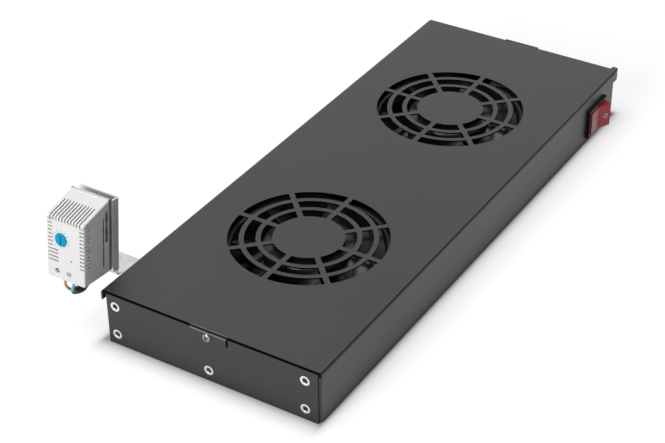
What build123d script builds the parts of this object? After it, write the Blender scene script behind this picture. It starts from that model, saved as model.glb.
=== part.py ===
from build123d import *
import math
import os

# All sizes are in millimetres. X runs along the housing from the near end, which carries the
# thermostat beside it, to the far end. Y runs across, from the wall with the switch to the wall
# with the inlet. Z = 0 is the face that the unit rests on.

# Housing of folded sheet steel
housing_length = 482.6
housing_width = 183.0
housing_height = 44.0
sheet = 1.2
bend_inside = 1.2
floor_bend_inside = 0.6

# Cover, which lies on the walls and has a lip behind the back wall and over the far end
lip_stand_off = 3.0
lip_drop = 8.3
far_overhang = 2.8
cover_inset = 0.3
ear_beyond_lip = 2.0
ear_drop = 11.0
ear_tab_width = 6.0

# Flange along the top of the front wall, and the flanges that the end plates are screwed to
top_flange = 9.0
top_flange_gap = 0.5
top_relief = 0.65
end_flange = 18.0
end_bend_inside = 0.4
end_plate_side = 1.8
far_plate_below_cover = 0.5
floor_flange_height = 15.0
floor_flange_width = 60.0

# Tongue that the cover's tab is screwed to, and the pad pressed out of the far lip
tongue_width = 30.9
tongue_y = -1.0
tongue_slot = 1.0
tongue_height = 8.0
tongue_push = 1.2
tongue_bend_height = 1.2
tongue_screw_drop = 4.8
far_pad_stand_off = 1.0
pad_clearance = 0.3

# Grilles over and under the fans
fan_from_end = 131.8
grille_radius = 60.5
slot_width = 8.6
band_width = 3.8
grille_rings = 3
spoke_count = 8
spoke_width = 4.2
slot_corner = 1.0

# Holes in the floor for fastening the unit
foot_hole_from_end = 21.3
foot_hole_from_side = 16.5
foot_hole_diameter = 5.5

# Screws at both ends
end_screw_from_side = 12.0
end_screw_low = 9.0
end_screw_high = 33.3
end_screw_head = 7.8
end_screw_shank = 4.0
end_screw_length = 9.0
end_screw_head_depth = 1.1
screw_clearance = 0.1

# Nuts and studs
m4_across_flats = 7.0
m4_nut_height = 3.2
m3_across_flats = 5.5
m3_nut_height = 2.4
m3_diameter = 3.0
m4_diameter = 4.0
pan_head_diameter = 5.6
pan_head_height = 1.9
stud_height = 12.0

# Fans
fan_size = 119.5
fan_depth = 38.0
fan_bore_from_edge = 1.75
fan_duct_wall = 1.5
fan_flange = 4.5
fan_corner_radius = 6.0
fan_hole_from_edge = 7.25
fan_hole = 4.4
bore_chamfer = 1.2
motor_plate_radius = 33.0
motor_plate = 2.5
strut_count = 4
strut_width = 6.0
strut_height = 4.5
hub_radius = 34.5
hub_wall = 2.0
hub_below_top = 0.2
hub_height = 28.0
hub_edge = 1.5
blade_count = 7
blade_tip_clearance = 1.2
blade_thickness = 1.8
blade_edge = 0.8
blade_camber = 3.2
blade_height = 25.0
blade_pitch_root = 52.0
blade_pitch_tip = 36.0
rotor_wall = 1.5
rotor_height = 22.0
rotor_boss_radius = 5.0
rotor_boss_height = 8.5
shaft_radius = 2.5
shaft_end_above_floor = 0.8
running_clearance = 0.05
press_clearance = 0.02
bearing_radius = 6.5
bearing_height = 5.0
bearing_low = 2.2
bearing_high = 18.0
bearing_tube_wall = 1.8
bearing_tube_height = 24.0
clip_radius = 4.4
clip_thickness = 0.8
clip_groove_radius = 2.0
clip_mouth = 3.0
air_gap = 0.5
stator_height = 11.0
stator_low = 12.5
stator_slots = 12
stator_slot_width = 3.0
stator_slot_depth = 11.0
coil_inner = 12.5
coil_outer = 27.0
coil_height = 4.5
terminal_housing_length = 8.5
terminal_housing_width = 14.0
terminal_housing_height = 9.0
terminal_housing_low = 15.0
tab_thickness = 0.8

# Rocker switch in the front wall
switch_from_far_wall = 38.3
switch_z = 17.9
bezel_length = 33.5
bezel_height = 26.0
bezel_proud = 3.2
bezel_edge = 0.8
switch_opening_length = 29.2
switch_opening_height = 20.8
switch_wall = 1.1
switch_depth = 20.0
switch_cut_clearance = 0.2
switch_cavity_depth = 10.0
switch_lug = 0.6
pivot_behind_face = 2.05
rocker_side_clearance = 0.2
rocker_half_angle = 13.5
rocker_half_length = 12.5
rocker_valley = 6.2
rocker_swing_clearance = 0.5
rocker_shoulder = 5.5
rocker_foot = 5.0
rocker_pin_radius = 1.5
rocker_pin_length = 1.0
blade_terminal_width = 4.8
blade_terminal_length = 9.0
switch_terminal_x = 7.0
switch_terminal_z = 5.0

# Thermostat, which leans back on its bracket
thermostat_from_near = 21.9
thermostat_from_wall = 28.5
thermostat_z = 42.85
thermostat_lean = 6.5
thermostat_depth = 28.3
thermostat_width = 33.7
thermostat_back_height = 58.2
thermostat_front_height = 50.0
thermostat_front_drop = 0.7
thermostat_edge = 1.2
thermostat_wall = 1.8
rear_shell_depth = 6.0
skirt_depth = 2.4
shell_joint = 0.05
top_slot_count = 11
top_slot_pitch = 2.63
top_slot_width = 1.2
top_slot_length = 18.0
top_slot_on_face = 3.0
side_slot_count = 12
side_slot_pitch = 2.95
side_slot_width = 1.3
side_slot_first = 13.8
side_slot_length = 7.5
side_slot_on_face = 4.0
side_slot_towards_dial = 5.4
low_slot_on_face = 10.5
low_slot_count = 4
knob_y = 3.8
knob_z = 32.0
knob_radius = 5.1
knob_hole_clearance = 0.3
knob_proud = 0.7
knob_head = 4.5
knob_stem_radius = 2.0
knob_slot_width = 1.0
knob_slot_depth = 1.0
knob_boss_radius = 4.2
knob_boss_height = 8.0
clamp_spacing = 10.5
clamp_y = 2.45
clamp_z = 5.8
clamp_hole_radius = 2.25
clamp_width = 7.0
clamp_depth = 10.0
clamp_from_face = 3.6
clamp_screw_radius = 2.0
clamp_screw_height = 1.6
carrier_margin = 0.9
mark_y = -4.8
mark_z = 17.1
mark_radius = 0.8
joint_groove_width = 1.1
joint_groove_depth = 0.7
joint_groove_low = 7.0
joint_groove_high = 46.0
clip_slot_x = 2.4
clip_slot_low = 27.0
clip_slot_high = 51.0
rim_notch_count = 12
rim_notch_width = 1.3
rim_notch_depth = 1.0
guide_width = 1.2
guide_low = 1.0
bimetal_width = 6.0
bimetal_thickness = 0.5
bimetal_length = 32.0
bimetal_y = -10.0
bimetal_post = 6.0
lead_window_length = 11.0
lead_window_width = 15.0

# Rail and bracket behind the thermostat
rail_depth = 7.5
rail_width = 35.0
rail_crown = 27.0
rail_sheet = 1.0
rail_length = 29.6
rail_centre = 28.4
rail_pad = 1.2
rail_pad_height = 4.0
rail_pad_width = 16.0
rail_hook = 1.0
rail_hook_clearance = 0.2
rail_hook_reach = 2.0
latch_width = 10.0
latch_travel = 3.0
latch_tail = 3.0
rivet_radius = 1.6
rivet_head_radius = 3.0
rivet_head_height = 0.9
rivet_spacing = 16.0
bracket_sheet = 1.5
bracket_bend = 2.0
bracket_width = 33.0
bracket_top = 57.0
bracket_flange_depth = 7.2
bracket_flange_low = -1.6
foot_below_lip = 0.6
foot_length = 24.0
wall_flange_height = 15.0
bracket_screw_spacing = 12.0
bracket_screw_drop = 9.0

# Lead between the thermostat and the housing, and its two cores; the points of a route are
# given from the near end, from the back wall and from the underside
lead_radius = 3.0
core_radius = 1.1
arc_share = 0.45
lead_route = [
    (3.8, 31.0, 30.5),
    (8.8, 30.5, 27.0),
    (16.3, 30.1, 25.6),
    (25.3, 31.3, 27.2),
    (35.3, 31.7, 28.4),
    (44.8, 27.0, 26.2),
    (53.3, 20.0, 22.5),
    (60.3, 13.0, 19.0),
    (63.3, 5.5, 17.5),
    (63.3, -4.5, 17.5),
]
brown_route = [(-1.7, 34.1, 37.0)]
blue_route = [(-0.7, 27.9, 37.2)]
core_drop = 3.6
core_entry = 3.5
grommet_radius = 6.5
grommet_flange = 1.3

# Mains inlet in the back wall
inlet_from_far_wall = 34.5
inlet_z = 20.5
inlet_flange_width = 28.0
inlet_flange_height = 22.5
inlet_flange_thickness = 3.0
inlet_screw_spacing = 40.0
inlet_ear_radius = 4.6
inlet_body_width = 26.8
inlet_body_height = 19.4
inlet_depth = 18.0
inlet_cavity_width = 24.2
inlet_cavity_height = 16.6
inlet_cavity_depth = 17.0
inlet_cavity_corner = 4.0
inlet_cut_clearance = 0.2
inlet_pin_width = 2.0
inlet_pin_height = 4.0
inlet_pin_spacing = 14.0
inlet_pin_offset = 2.0
inlet_pin_below_rim = 3.0
inlet_tab_length = 7.0

# Terminal strip and earth stud on the floor
strip_from_far_wall = 34.5
strip_y = 8.0
strip_poles = 4
strip_pitch = 8.0
strip_width = 18.0
strip_height = 14.0
strip_step = 5.0
strip_screw_radius = 1.9
strip_screw_depth = 6.0
earth_from_far_wall = 16.5
earth_from_back = 33.5

# Places worked out from the sizes above
near_x = -housing_length / 2
lip_x = housing_length / 2
far_wall_x = lip_x - far_overhang
front_y = -housing_width / 2
lip_y = housing_width / 2
back_y = lip_y - lip_stand_off
cover_under = housing_height - sheet
cover_near_x = near_x + cover_inset
cover_front_y = front_y
ear_x = lip_x + ear_beyond_lip
tray_near_x = near_x + sheet
tray_far_x = far_wall_x - sheet
flange_top = cover_under - top_flange_gap
lip_low = housing_height - lip_drop
tongue_low = housing_height - tongue_height
tongue_front = tongue_y - tongue_width / 2
tongue_back = tongue_y + tongue_width / 2
tongue_screw_z = housing_height - tongue_screw_drop
tongue_top = cover_under - pad_clearance
bend_outside = bend_inside + sheet
end_bend_outside = end_bend_inside + sheet
fan_spacing = housing_length - 2 * fan_from_end
fan_bore_radius = fan_size / 2 - fan_bore_from_edge
fan_hole_pitch = fan_size - 2 * fan_hole_from_edge
foot_hole_x = lip_x - foot_hole_from_end
foot_hole_y = lip_y - foot_hole_from_side
end_screw_y = lip_y - end_screw_from_side
switch_x = far_wall_x - switch_from_far_wall
rocker_swing_radius = switch_opening_length / 2 - rocker_swing_clearance
inlet_x = far_wall_x - inlet_from_far_wall
strip_x = far_wall_x - strip_from_far_wall
earth_x = far_wall_x - earth_from_far_wall
earth_y = back_y - earth_from_back
thermostat_x = near_x + thermostat_from_near
thermostat_y = back_y + thermostat_from_wall
hub_top = fan_depth - hub_below_top
hub_low = hub_top - hub_height
rotor_radius = hub_radius - hub_wall - press_clearance
rotor_top = hub_top - hub_wall
tube_bore = bearing_radius + press_clearance
tube_radius = tube_bore + bearing_tube_wall
pivot_y = front_y + pivot_behind_face
plate_x = rail_pad + rail_depth
bracket_front_y = thermostat_y - bracket_width / 2
foot_top = lip_low - foot_below_lip
thermostat_place = Location((thermostat_x, thermostat_y, thermostat_z), (0, thermostat_lean, 0))
lead_hole_x = near_x + lead_route[-1][0]
lead_hole_z = lead_route[-1][2]
low_centre = (Align.CENTER, Align.CENTER, Align.MIN)


def block(x0, x1, y0, y1, z0, z1):
    """A box between two corners."""
    return Pos(x0, y0, z0) * Box(x1 - x0, y1 - y0, z1 - z0, align=Align.MIN)


def rod(radius, z0, z1):
    """A round bar along Z."""
    return Pos(0, 0, z0) * Cylinder(radius, z1 - z0, align=low_centre)


def ring(outer, inner, z0, z1):
    """A round tube along Z."""
    return rod(outer, z0, z1) - rod(inner, z0 - 1, z1 + 1)


def along_x(shape, x, y, z):
    """A piece made along Z, turned to run along +X from a point."""
    return Pos(x, y, z) * Rot(0, 90, 0) * shape


def along_y(shape, x, y, z):
    """A piece made along Z, turned to run along +Y from a point."""
    return Pos(x, y, z) * Rot(-90, 0, 0) * shape


def prism_y(face, y0, y1):
    """A profile drawn over X and Z, carried from y0 to y1."""
    plane = Plane((0, y0, 0), x_dir=(1, 0, 0), z_dir=(0, -1, 0))
    return extrude(plane * face, amount=y0 - y1)


def outline(*points):
    """The face inside a closed row of points."""
    return make_face(Polyline(*points, close=True))


def at_value(shape, axis, value):
    """The edges whose middle lies at a value along an axis."""
    return shape.edges().filter_by(lambda edge: abs(getattr(edge.center(), axis) - value) < 0.01)


def group(pieces):
    """Separate solids that share a node."""
    return Compound(children=list(pieces))


def hex_nut(across_flats, bore_radius, height):
    """A nut along Z, standing on its lower face."""
    face = RegularPolygon(across_flats / 2, 6, major_radius=False) - Circle(bore_radius)
    return extrude(face, height)


def pan_screw(diameter, length):
    """A screw along Z with its rounded head above Z = 0 and its shank below."""
    radius = pan_head_diameter / 2
    head = rod(radius, 0, pan_head_height)
    head = fillet(at_value(head, "Z", pan_head_height), pan_head_height * 0.6)
    return head + rod(diameter / 2, -length, 0)


def sunk_screw():
    """A flat screw along Z with its head flush at Z = 0."""
    head = Pos(0, 0, -end_screw_head_depth) * Cone(
        end_screw_shank / 2, end_screw_head / 2, end_screw_head_depth, align=low_centre
    )
    return head + rod(end_screw_shank / 2, -end_screw_length, -end_screw_head_depth / 2)


def end_screw_places():
    """Across and up from the floor, the same at both ends."""
    corners = [(y, z) for y in (-end_screw_y, end_screw_y) for z in (end_screw_low, end_screw_high)]
    return corners + [(0, end_screw_low)]


def stud_places():
    """The eight corners that the two fans are fastened at."""
    half = fan_hole_pitch / 2
    return [
        (fan_x + x, y)
        for fan_x in (-fan_spacing / 2, fan_spacing / 2)
        for x in (-half, half)
        for y in (-half, half)
    ]


def grille_cutter(z0, z1, corner):
    """Three broken rings of slots, cut by straight spokes."""
    slots = Sketch()
    for number in range(grille_rings):
        outer = grille_radius - number * (slot_width + band_width)
        slots += Circle(outer) - Circle(outer - slot_width)
    for number in range(spoke_count // 2):
        slots -= Rot(0, 0, number * 360 / spoke_count) * Rectangle(2 * grille_radius + 2, spoke_width)
    if corner:
        slots = fillet(slots.vertices(), corner)
    return Pos(0, 0, z0) * extrude(slots, z1 - z0)


def tray_shell():
    """The floor and the long walls, bent in behind the end plates."""
    outer = block(tray_near_x, tray_far_x, front_y, back_y, 0, cover_under)
    outer = fillet(outer.edges().filter_by(Axis.Z), end_bend_outside)
    outer = fillet(outer.faces().sort_by(Axis.Z)[0].edges(), floor_bend_inside + sheet)
    inner = block(
        tray_near_x + sheet, tray_far_x - sheet, front_y + sheet, back_y - sheet, sheet, housing_height + 1
    )
    inner = fillet(inner.edges().filter_by(Axis.Z), end_bend_inside)
    inner = fillet(inner.faces().sort_by(Axis.Z)[0].edges(), floor_bend_inside)
    return outer - inner


def tray_end_openings():
    """What is left out of the tray's ends between its flanges."""
    low = floor_bend_inside + sheet
    half = floor_flange_width / 2
    front = front_y + end_flange
    back = back_y - end_flange
    cuts = []
    for x0, x1 in ((near_x, tray_near_x + sheet + 0.1), (tray_far_x - sheet - 0.1, far_wall_x)):
        cuts.append(block(x0, x1, front, -half, low, housing_height))
        cuts.append(block(x0, x1, half, back, low, housing_height))
        cuts.append(block(x0, x1, front, back, floor_flange_height, housing_height))
    return cuts


def front_flange():
    """The front wall's top, bent in under the cover's edge."""
    low = flange_top - bend_outside - top_relief
    path = FilletPolyline(
        (front_y + sheet / 2, low),
        (front_y + sheet / 2, flange_top - sheet / 2),
        (front_y + top_flange, flange_top - sheet / 2),
        radius=bend_inside + sheet / 2,
    )
    x0 = tray_near_x + end_bend_outside
    x1 = tray_far_x - sheet - end_bend_inside
    plane = Plane((x0, 0, 0), x_dir=(0, 1, 0), z_dir=(1, 0, 0))
    return extrude(plane * trace(path, sheet), x1 - x0)


def tray_floor_cuts():
    """Grilles, stud holes and fastening holes in the floor."""
    cuts = []
    for fan_x in (-fan_spacing / 2, fan_spacing / 2):
        cuts.append(Pos(fan_x, 0, 0) * grille_cutter(-1, sheet + 1, 0))
    for x, y in stud_places() + [(earth_x, earth_y)]:
        cuts.append(Pos(x, y, 0) * rod(m4_diameter / 2, -1, sheet + 1))
    for x in (-foot_hole_x, foot_hole_x):
        for y in (-foot_hole_y, foot_hole_y):
            cuts.append(Pos(x, y, 0) * rod(foot_hole_diameter / 2, -1, sheet + 1))
    return cuts


def tray_wall_cuts():
    """Screw holes, the switch and inlet cut-outs and the lead's hole."""
    cuts = []
    hole = end_screw_shank / 2 + screw_clearance
    for y, z in end_screw_places():
        cuts.append(along_x(rod(hole, -1, sheet + 1), tray_near_x, y, z))
        cuts.append(along_x(rod(hole, -1, sheet + 1), tray_far_x - sheet, y, z))
    half_length = switch_opening_length / 2 + switch_wall + switch_cut_clearance
    half_height = switch_opening_height / 2 + switch_wall + switch_cut_clearance
    cuts.append(
        block(
            switch_x - half_length,
            switch_x + half_length,
            front_y - 1,
            front_y + sheet + 1,
            switch_z - half_height,
            switch_z + half_height,
        )
    )
    half_width = inlet_body_width / 2 + inlet_cut_clearance
    half_height = inlet_body_height / 2 + inlet_cut_clearance
    cuts.append(
        block(
            inlet_x - half_width,
            inlet_x + half_width,
            back_y - sheet - 1,
            back_y + 1,
            inlet_z - half_height,
            inlet_z + half_height,
        )
    )
    small = m3_diameter / 2 + screw_clearance
    for x in (inlet_x - inlet_screw_spacing / 2, inlet_x + inlet_screw_spacing / 2):
        cuts.append(along_y(rod(small, -2, sheet + 1), x, back_y - sheet, inlet_z))
    for x, z in bracket_screw_places():
        cuts.append(along_y(rod(small, -2, sheet + 1), x, back_y - sheet, z))
    wall_hole = grommet_radius - grommet_flange
    cuts.append(along_y(rod(wall_hole, -2, sheet + 2), lead_hole_x, back_y - sheet, lead_hole_z))
    return cuts


def base_tray():
    """The channel that everything stands on, with the ear at its far front corner."""
    tray = tray_shell() - tray_end_openings()
    low = flange_top - bend_outside - top_relief
    tray -= block(near_x, far_wall_x, front_y - 1, front_y + end_bend_outside, low, housing_height)
    tray -= block(near_x, tray_near_x + sheet, front_y, front_y + end_plate_side, low, housing_height)
    tray += front_flange()
    ear_start = tray_far_x - sheet - end_bend_outside
    tray += block(ear_start, ear_x, front_y, front_y + sheet, housing_height - ear_drop, flange_top)
    return tray - tray_floor_cuts() - tray_wall_cuts()


def end_plate_blank(x0, top):
    """A flat plate between the bends of the long walls."""
    return block(x0, x0 + sheet, front_y + end_plate_side, back_y - end_plate_side, 0, top)


def near_end_plate():
    """The plate with the tongue, whose five screws sink into it."""
    plate = end_plate_blank(near_x, cover_under)
    plate -= block(
        near_x - 1,
        near_x + sheet + 1,
        tongue_front - tongue_slot,
        tongue_back + tongue_slot,
        tongue_low,
        housing_height,
    )
    plate += near_tongue()
    hole, sink = end_screw_hole()
    for y, z in end_screw_places():
        plate -= along_x(hole, near_x, y, z)
        plate -= Pos(near_x + end_screw_head_depth, y, z) * Rot(0, -90, 0) * sink
    small = rod(m3_diameter / 2 + screw_clearance, -tongue_push - 1, 2 * sheet)
    return plate - along_x(small, near_x, tongue_y, tongue_screw_z)


def near_tongue():
    """The strip between two slots that is pressed outward by a sheet's thickness."""
    inner = near_x + sheet
    bend = tongue_low + tongue_bend_height
    face = outline(
        (near_x, tongue_low),
        (near_x - tongue_push, bend),
        (near_x - tongue_push, tongue_top),
        (inner - tongue_push, tongue_top),
        (inner - tongue_push, bend),
        (inner, tongue_low),
    )
    return prism_y(face, tongue_front, tongue_back)


def far_end_plate():
    """The plain plate at the far end."""
    plate = end_plate_blank(tray_far_x, cover_under - far_plate_below_cover)
    hole, sink = end_screw_hole()
    for y, z in end_screw_places():
        plate -= along_x(hole, tray_far_x, y, z)
        plate -= along_x(sink, far_wall_x - end_screw_head_depth, y, z)
    small = rod(m3_diameter / 2 + screw_clearance, -1, 2 * sheet)
    return plate - along_x(small, tray_far_x, tongue_y, tongue_screw_z)


def end_screw_hole():
    """A through hole and the cone that the flat head sinks into."""
    radius = end_screw_shank / 2 + screw_clearance
    sink = Cone(radius, end_screw_head / 2 + 2 * screw_clearance, end_screw_head_depth, align=low_centre)
    return rod(radius, -1, sheet + 1), sink


def top_cover():
    """The plate on the walls, its two lips, the near tab and the pressed pad at the far end."""
    outer = block(near_x, lip_x, cover_front_y, lip_y, lip_low, housing_height)
    corner = [*at_value(outer, "Y", lip_y), *at_value(outer, "X", lip_x)]
    corner = [edge for edge in corner if edge.center().Z > lip_low + 0.01 and edge.center().X > near_x + 0.01]
    corner = [edge for edge in set(corner) if edge.center().Y > cover_front_y + 0.01]
    outer = fillet(corner, bend_outside)
    inner = block(near_x - 1, lip_x - sheet, cover_front_y - 1, lip_y - sheet, lip_low - 1, cover_under)
    corner = [*at_value(inner, "Y", lip_y - sheet), *at_value(inner, "X", lip_x - sheet)]
    corner = [edge for edge in corner if edge.center().Z > lip_low and edge.center().X > near_x]
    corner = [edge for edge in set(corner) if edge.center().Y > cover_front_y]
    inner = fillet(corner, bend_inside)
    cover = outer - inner
    cover -= block(near_x - 1, cover_near_x, cover_front_y - 1, lip_y + 1, lip_low - 1, housing_height + 1)
    tab_back = near_x + bend_outside
    cover -= block(near_x - 1, tab_back, tongue_front, tongue_back, cover_under - 1, housing_height + 1)
    ear_back = cover_front_y + ear_tab_width
    lip_bend = lip_x - bend_outside
    cover -= block(lip_bend, lip_x + 1, cover_front_y - 1, ear_back, lip_low - 1, housing_height + 1)
    cover += block(lip_bend, ear_x, cover_front_y, ear_back - sheet, cover_under, housing_height)
    for fan_x in (-fan_spacing / 2, fan_spacing / 2):
        cover -= Pos(fan_x, 0, 0) * grille_cutter(cover_under - 1, housing_height + 1, slot_corner)
    return cover + near_tab() + far_pad() - far_pad_hollow() - cover_screw_holes()


def near_tab():
    """The tab bent down behind the tongue, in line with the end plate."""
    path = FilletPolyline(
        (near_x + sheet / 2, tongue_low + tongue_bend_height + pad_clearance),
        (near_x + sheet / 2, housing_height - sheet / 2),
        (near_x + 2 * bend_outside, housing_height - sheet / 2),
        radius=bend_inside + sheet / 2,
    )
    return prism_y(trace(path, sheet), tongue_front, tongue_back)


def far_pad():
    """The part of the far lip that is pressed out round its screw."""
    outer_x = lip_x + far_pad_stand_off
    pad = block(lip_x - sheet, outer_x, tongue_front, tongue_back, lip_low, housing_height)
    edge = [e for e in at_value(pad, "X", outer_x) if e.center().Z > housing_height - 0.01]
    return fillet(edge, bend_inside)


def far_pad_hollow():
    """The room behind the pressed pad."""
    return block(
        lip_x - sheet - 1,
        lip_x + far_pad_stand_off - sheet,
        tongue_front + sheet,
        tongue_back - sheet,
        lip_low - 1,
        cover_under,
    )


def cover_screw_holes():
    hole = m3_diameter / 2 + screw_clearance
    near = along_x(rod(hole, -1, sheet + 1), near_x, tongue_y, tongue_screw_z)
    length = sheet + far_pad_stand_off + 2
    far = along_x(rod(hole, -1, length), lip_x - sheet, tongue_y, tongue_screw_z)
    return [near, far]


def cover_screws():
    """One pan screw through the tongue and one through the pad."""
    length = tongue_push + 3 * sheet
    near = Pos(near_x - tongue_push, tongue_y, tongue_screw_z) * Rot(0, -90, 0) * pan_screw(m3_diameter, length)
    far_length = lip_x + far_pad_stand_off - far_wall_x + 3 * sheet
    far_x = lip_x + far_pad_stand_off
    far = along_x(pan_screw(m3_diameter, far_length), far_x, tongue_y, tongue_screw_z)
    return group([near, far])


def end_screws():
    screws = []
    for y, z in end_screw_places():
        screws.append(Pos(near_x, y, z) * Rot(0, -90, 0) * sunk_screw())
        screws.append(along_x(sunk_screw(), far_wall_x, y, z))
    return group(screws)


def end_nuts():
    nuts = []
    nut = hex_nut(m4_across_flats, m4_diameter / 2 + press_clearance, m4_nut_height)
    for y, z in end_screw_places():
        nuts.append(along_x(nut, tray_near_x + sheet, y, z))
        nuts.append(along_x(nut, tray_far_x - sheet - m4_nut_height, y, z))
    return group(nuts)


def stud(height):
    """A pressed stud, flush with the underside of the floor."""
    return rod(m4_diameter / 2 - press_clearance, 0, sheet + height)


def fan_studs():
    return group([Pos(x, y, 0) * stud(stud_height) for x, y in stud_places()])


def fan_nuts():
    nut = hex_nut(m4_across_flats, m4_diameter / 2, m4_nut_height)
    return group([Pos(x, y, sheet + fan_flange) * nut for x, y in stud_places()])


def fan_frame():
    """Two square flanges joined by the duct, with the struts and the bearing tube."""
    square = RectangleRounded(fan_size, fan_size, fan_corner_radius)
    holes = GridLocations(fan_hole_pitch, fan_hole_pitch, 2, 2) * Circle(fan_hole / 2)
    flange = extrude(square - holes, fan_flange)
    frame = flange + Pos(0, 0, fan_depth - fan_flange) * flange
    frame += rod(fan_bore_radius + fan_duct_wall, 0, fan_depth)
    frame += fan_terminal_housing()
    bore = rod(fan_bore_radius, -1, fan_depth + 1)
    mouth = Cone(fan_bore_radius, fan_bore_radius + bore_chamfer, bore_chamfer, align=low_centre)
    frame -= bore
    frame -= Pos(0, 0, fan_depth - bore_chamfer) * mouth
    spider = rod(motor_plate_radius, 0, motor_plate)
    for number in range(strut_count):
        turn = Rot(0, 0, 360 / strut_count * (number + 0.5))
        reach = fan_bore_radius + fan_duct_wall / 2
        spider += turn * block(0, reach, -strut_width / 2, strut_width / 2, 0, strut_height)
    spider += rod(tube_radius, 0, bearing_tube_height)
    return frame + spider - rod(tube_bore, -1, bearing_tube_height + 1)


def fan_terminal_housing():
    """The moulding in one corner that holds the blade terminals."""
    start = fan_bore_radius + fan_duct_wall / 2
    half = terminal_housing_width / 2
    top = terminal_housing_low + terminal_housing_height
    shape = block(start, start + terminal_housing_length, -half, half, terminal_housing_low, top)
    return Rot(0, 0, -45) * shape


def fan_terminals():
    start = fan_bore_radius + fan_duct_wall / 2 + terminal_housing_length
    middle = terminal_housing_low + terminal_housing_height / 2
    tabs = []
    for side in (-1, 1):
        y = side * terminal_housing_width / 4
        tab = block(
            start,
            start + blade_terminal_length,
            y - tab_thickness / 2,
            y + tab_thickness / 2,
            middle - blade_terminal_width / 2,
            middle + blade_terminal_width / 2,
        )
        tabs.append(Rot(0, 0, -45) * tab)
    return group(tabs)


def blade_section(radius, pitch):
    """A thin cambered section across the blade at a radius."""
    half = blade_height / math.sin(math.radians(pitch)) / 2
    edge = blade_edge / 2
    high = blade_camber + blade_thickness / 2
    low = blade_camber - blade_thickness / 2
    lines = ThreePointArc((-half, edge), (0, high), (half, edge))
    lines += Line((half, edge), (half, -edge))
    lines += ThreePointArc((half, -edge), (0, low), (-half, -edge))
    lines += Line((-half, -edge), (-half, edge))
    angle = math.radians(pitch)
    middle = hub_low + hub_height / 2
    plane = Plane(
        (radius, 0, middle), x_dir=(0, math.cos(angle), math.sin(angle)), z_dir=(1, 0, 0)
    )
    return plane * make_face(lines)


def fan_blade():
    """A twisted blade, trimmed to the hub and to the tip circle."""
    tip = fan_bore_radius - blade_tip_clearance
    root = hub_radius - hub_wall / 2
    blade = loft([blade_section(root - hub_wall, blade_pitch_root), blade_section(tip + 3, blade_pitch_tip)])
    return blade & ring(tip, root, hub_low, hub_top)


def fan_impeller():
    hub = rod(hub_radius, hub_low, hub_top)
    hub = fillet(at_value(hub, "Z", hub_top), hub_edge)
    hub -= rod(hub_radius - hub_wall, hub_low - 1, rotor_top)
    hub -= rod(rotor_boss_radius * 2, rotor_top - 1, hub_top + 1)
    blade = fan_blade()
    blades = [Rot(0, 0, number * 360 / blade_count) * blade for number in range(blade_count)]
    return hub + blades


def fan_rotor():
    """The steel cup that turns round the stator."""
    cup = rod(rotor_radius, rotor_top - rotor_height, rotor_top)
    cup -= rod(rotor_radius - rotor_wall, rotor_top - rotor_height - 1, rotor_top - rotor_wall)
    cup += rod(rotor_boss_radius, rotor_top - rotor_boss_height, rotor_top - rotor_wall / 2)
    return cup - rod(shaft_radius + press_clearance, 0, hub_top)


def clip_low():
    return bearing_low - clip_thickness - 2 * running_clearance


def fan_shaft():
    shaft = rod(shaft_radius, shaft_end_above_floor, rotor_top)
    low = clip_low() - running_clearance
    return shaft - ring(shaft_radius + 1, clip_groove_radius, low, low + clip_thickness + 2 * running_clearance)


def fan_clip():
    clip = ring(clip_radius, clip_groove_radius + press_clearance, clip_low(), clip_low() + clip_thickness)
    return clip - block(0, clip_radius + 1, -clip_mouth / 2, clip_mouth / 2, 0, bearing_low)


def fan_bearings():
    pieces = []
    for low in (bearing_low, bearing_high):
        pieces.append(ring(bearing_radius, shaft_radius + running_clearance, low, low + bearing_height))
    return group(pieces)


def stator_radius():
    return rotor_radius - rotor_wall - air_gap


def fan_stator():
    """The laminated core, slotted for the winding."""
    core = Circle(stator_radius()) - Circle(tube_radius + press_clearance)
    inner = stator_radius() - stator_slot_depth
    for place in PolarLocations(inner + stator_slot_depth / 2, stator_slots):
        core -= place * Rectangle(stator_slot_depth + 1, stator_slot_width)
    return Pos(0, 0, stator_low) * extrude(core, stator_height)


def fan_coil():
    """The ends of the winding, above and below the core."""
    above = stator_low + stator_height
    low = ring(coil_outer, coil_inner, stator_low - coil_height, stator_low)
    return group([low, ring(coil_outer, coil_inner, above, above + coil_height)])


def write_fan(name, fan_x):
    """One whole fan, standing on the floor."""
    place = Pos(fan_x, 0, sheet)
    pieces = {
        "frame": fan_frame,
        "impeller": fan_impeller,
        "rotor": fan_rotor,
        "shaft": fan_shaft,
        "clip": fan_clip,
        "bearings": fan_bearings,
        "stator": fan_stator,
        "coil": fan_coil,
        "terminals": fan_terminals,
    }
    for piece, make in pieces.items():
        write(f"{name}_fan_{piece}", place * make())


def switch_body():
    """Bezel, open cavity and the box behind the wall, with two spring lugs."""
    outer_length = switch_opening_length + 2 * switch_wall
    outer_height = switch_opening_height + 2 * switch_wall
    bezel = Box(bezel_length, bezel_proud, bezel_height)
    bezel = fillet(bezel.faces().sort_by(Axis.Y)[0].edges(), bezel_edge)
    body = Pos(0, -bezel_proud / 2, 0) * bezel
    body += Pos(0, switch_depth / 2, 0) * Box(outer_length, switch_depth, outer_height)
    for side in (-1, 1):
        start = side * outer_length / 2
        body += extrude(
            outline(
                (start, sheet + 0.1), (start + side * switch_lug, sheet + 0.1), (start, sheet + switch_wall * 5)
            ),
            blade_terminal_width,
        )
    depth = bezel_proud + switch_cavity_depth
    cavity = Box(switch_opening_length, depth, switch_opening_height)
    body -= Pos(0, (switch_cavity_depth - bezel_proud) / 2, 0) * cavity
    body = Pos(switch_x, front_y, switch_z) * body
    reach = switch_opening_height / 2 + switch_wall + 1
    hole = rod(rocker_pin_radius + running_clearance, -reach, reach)
    return body - Pos(switch_x, pivot_y, switch_z) * hole


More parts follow.
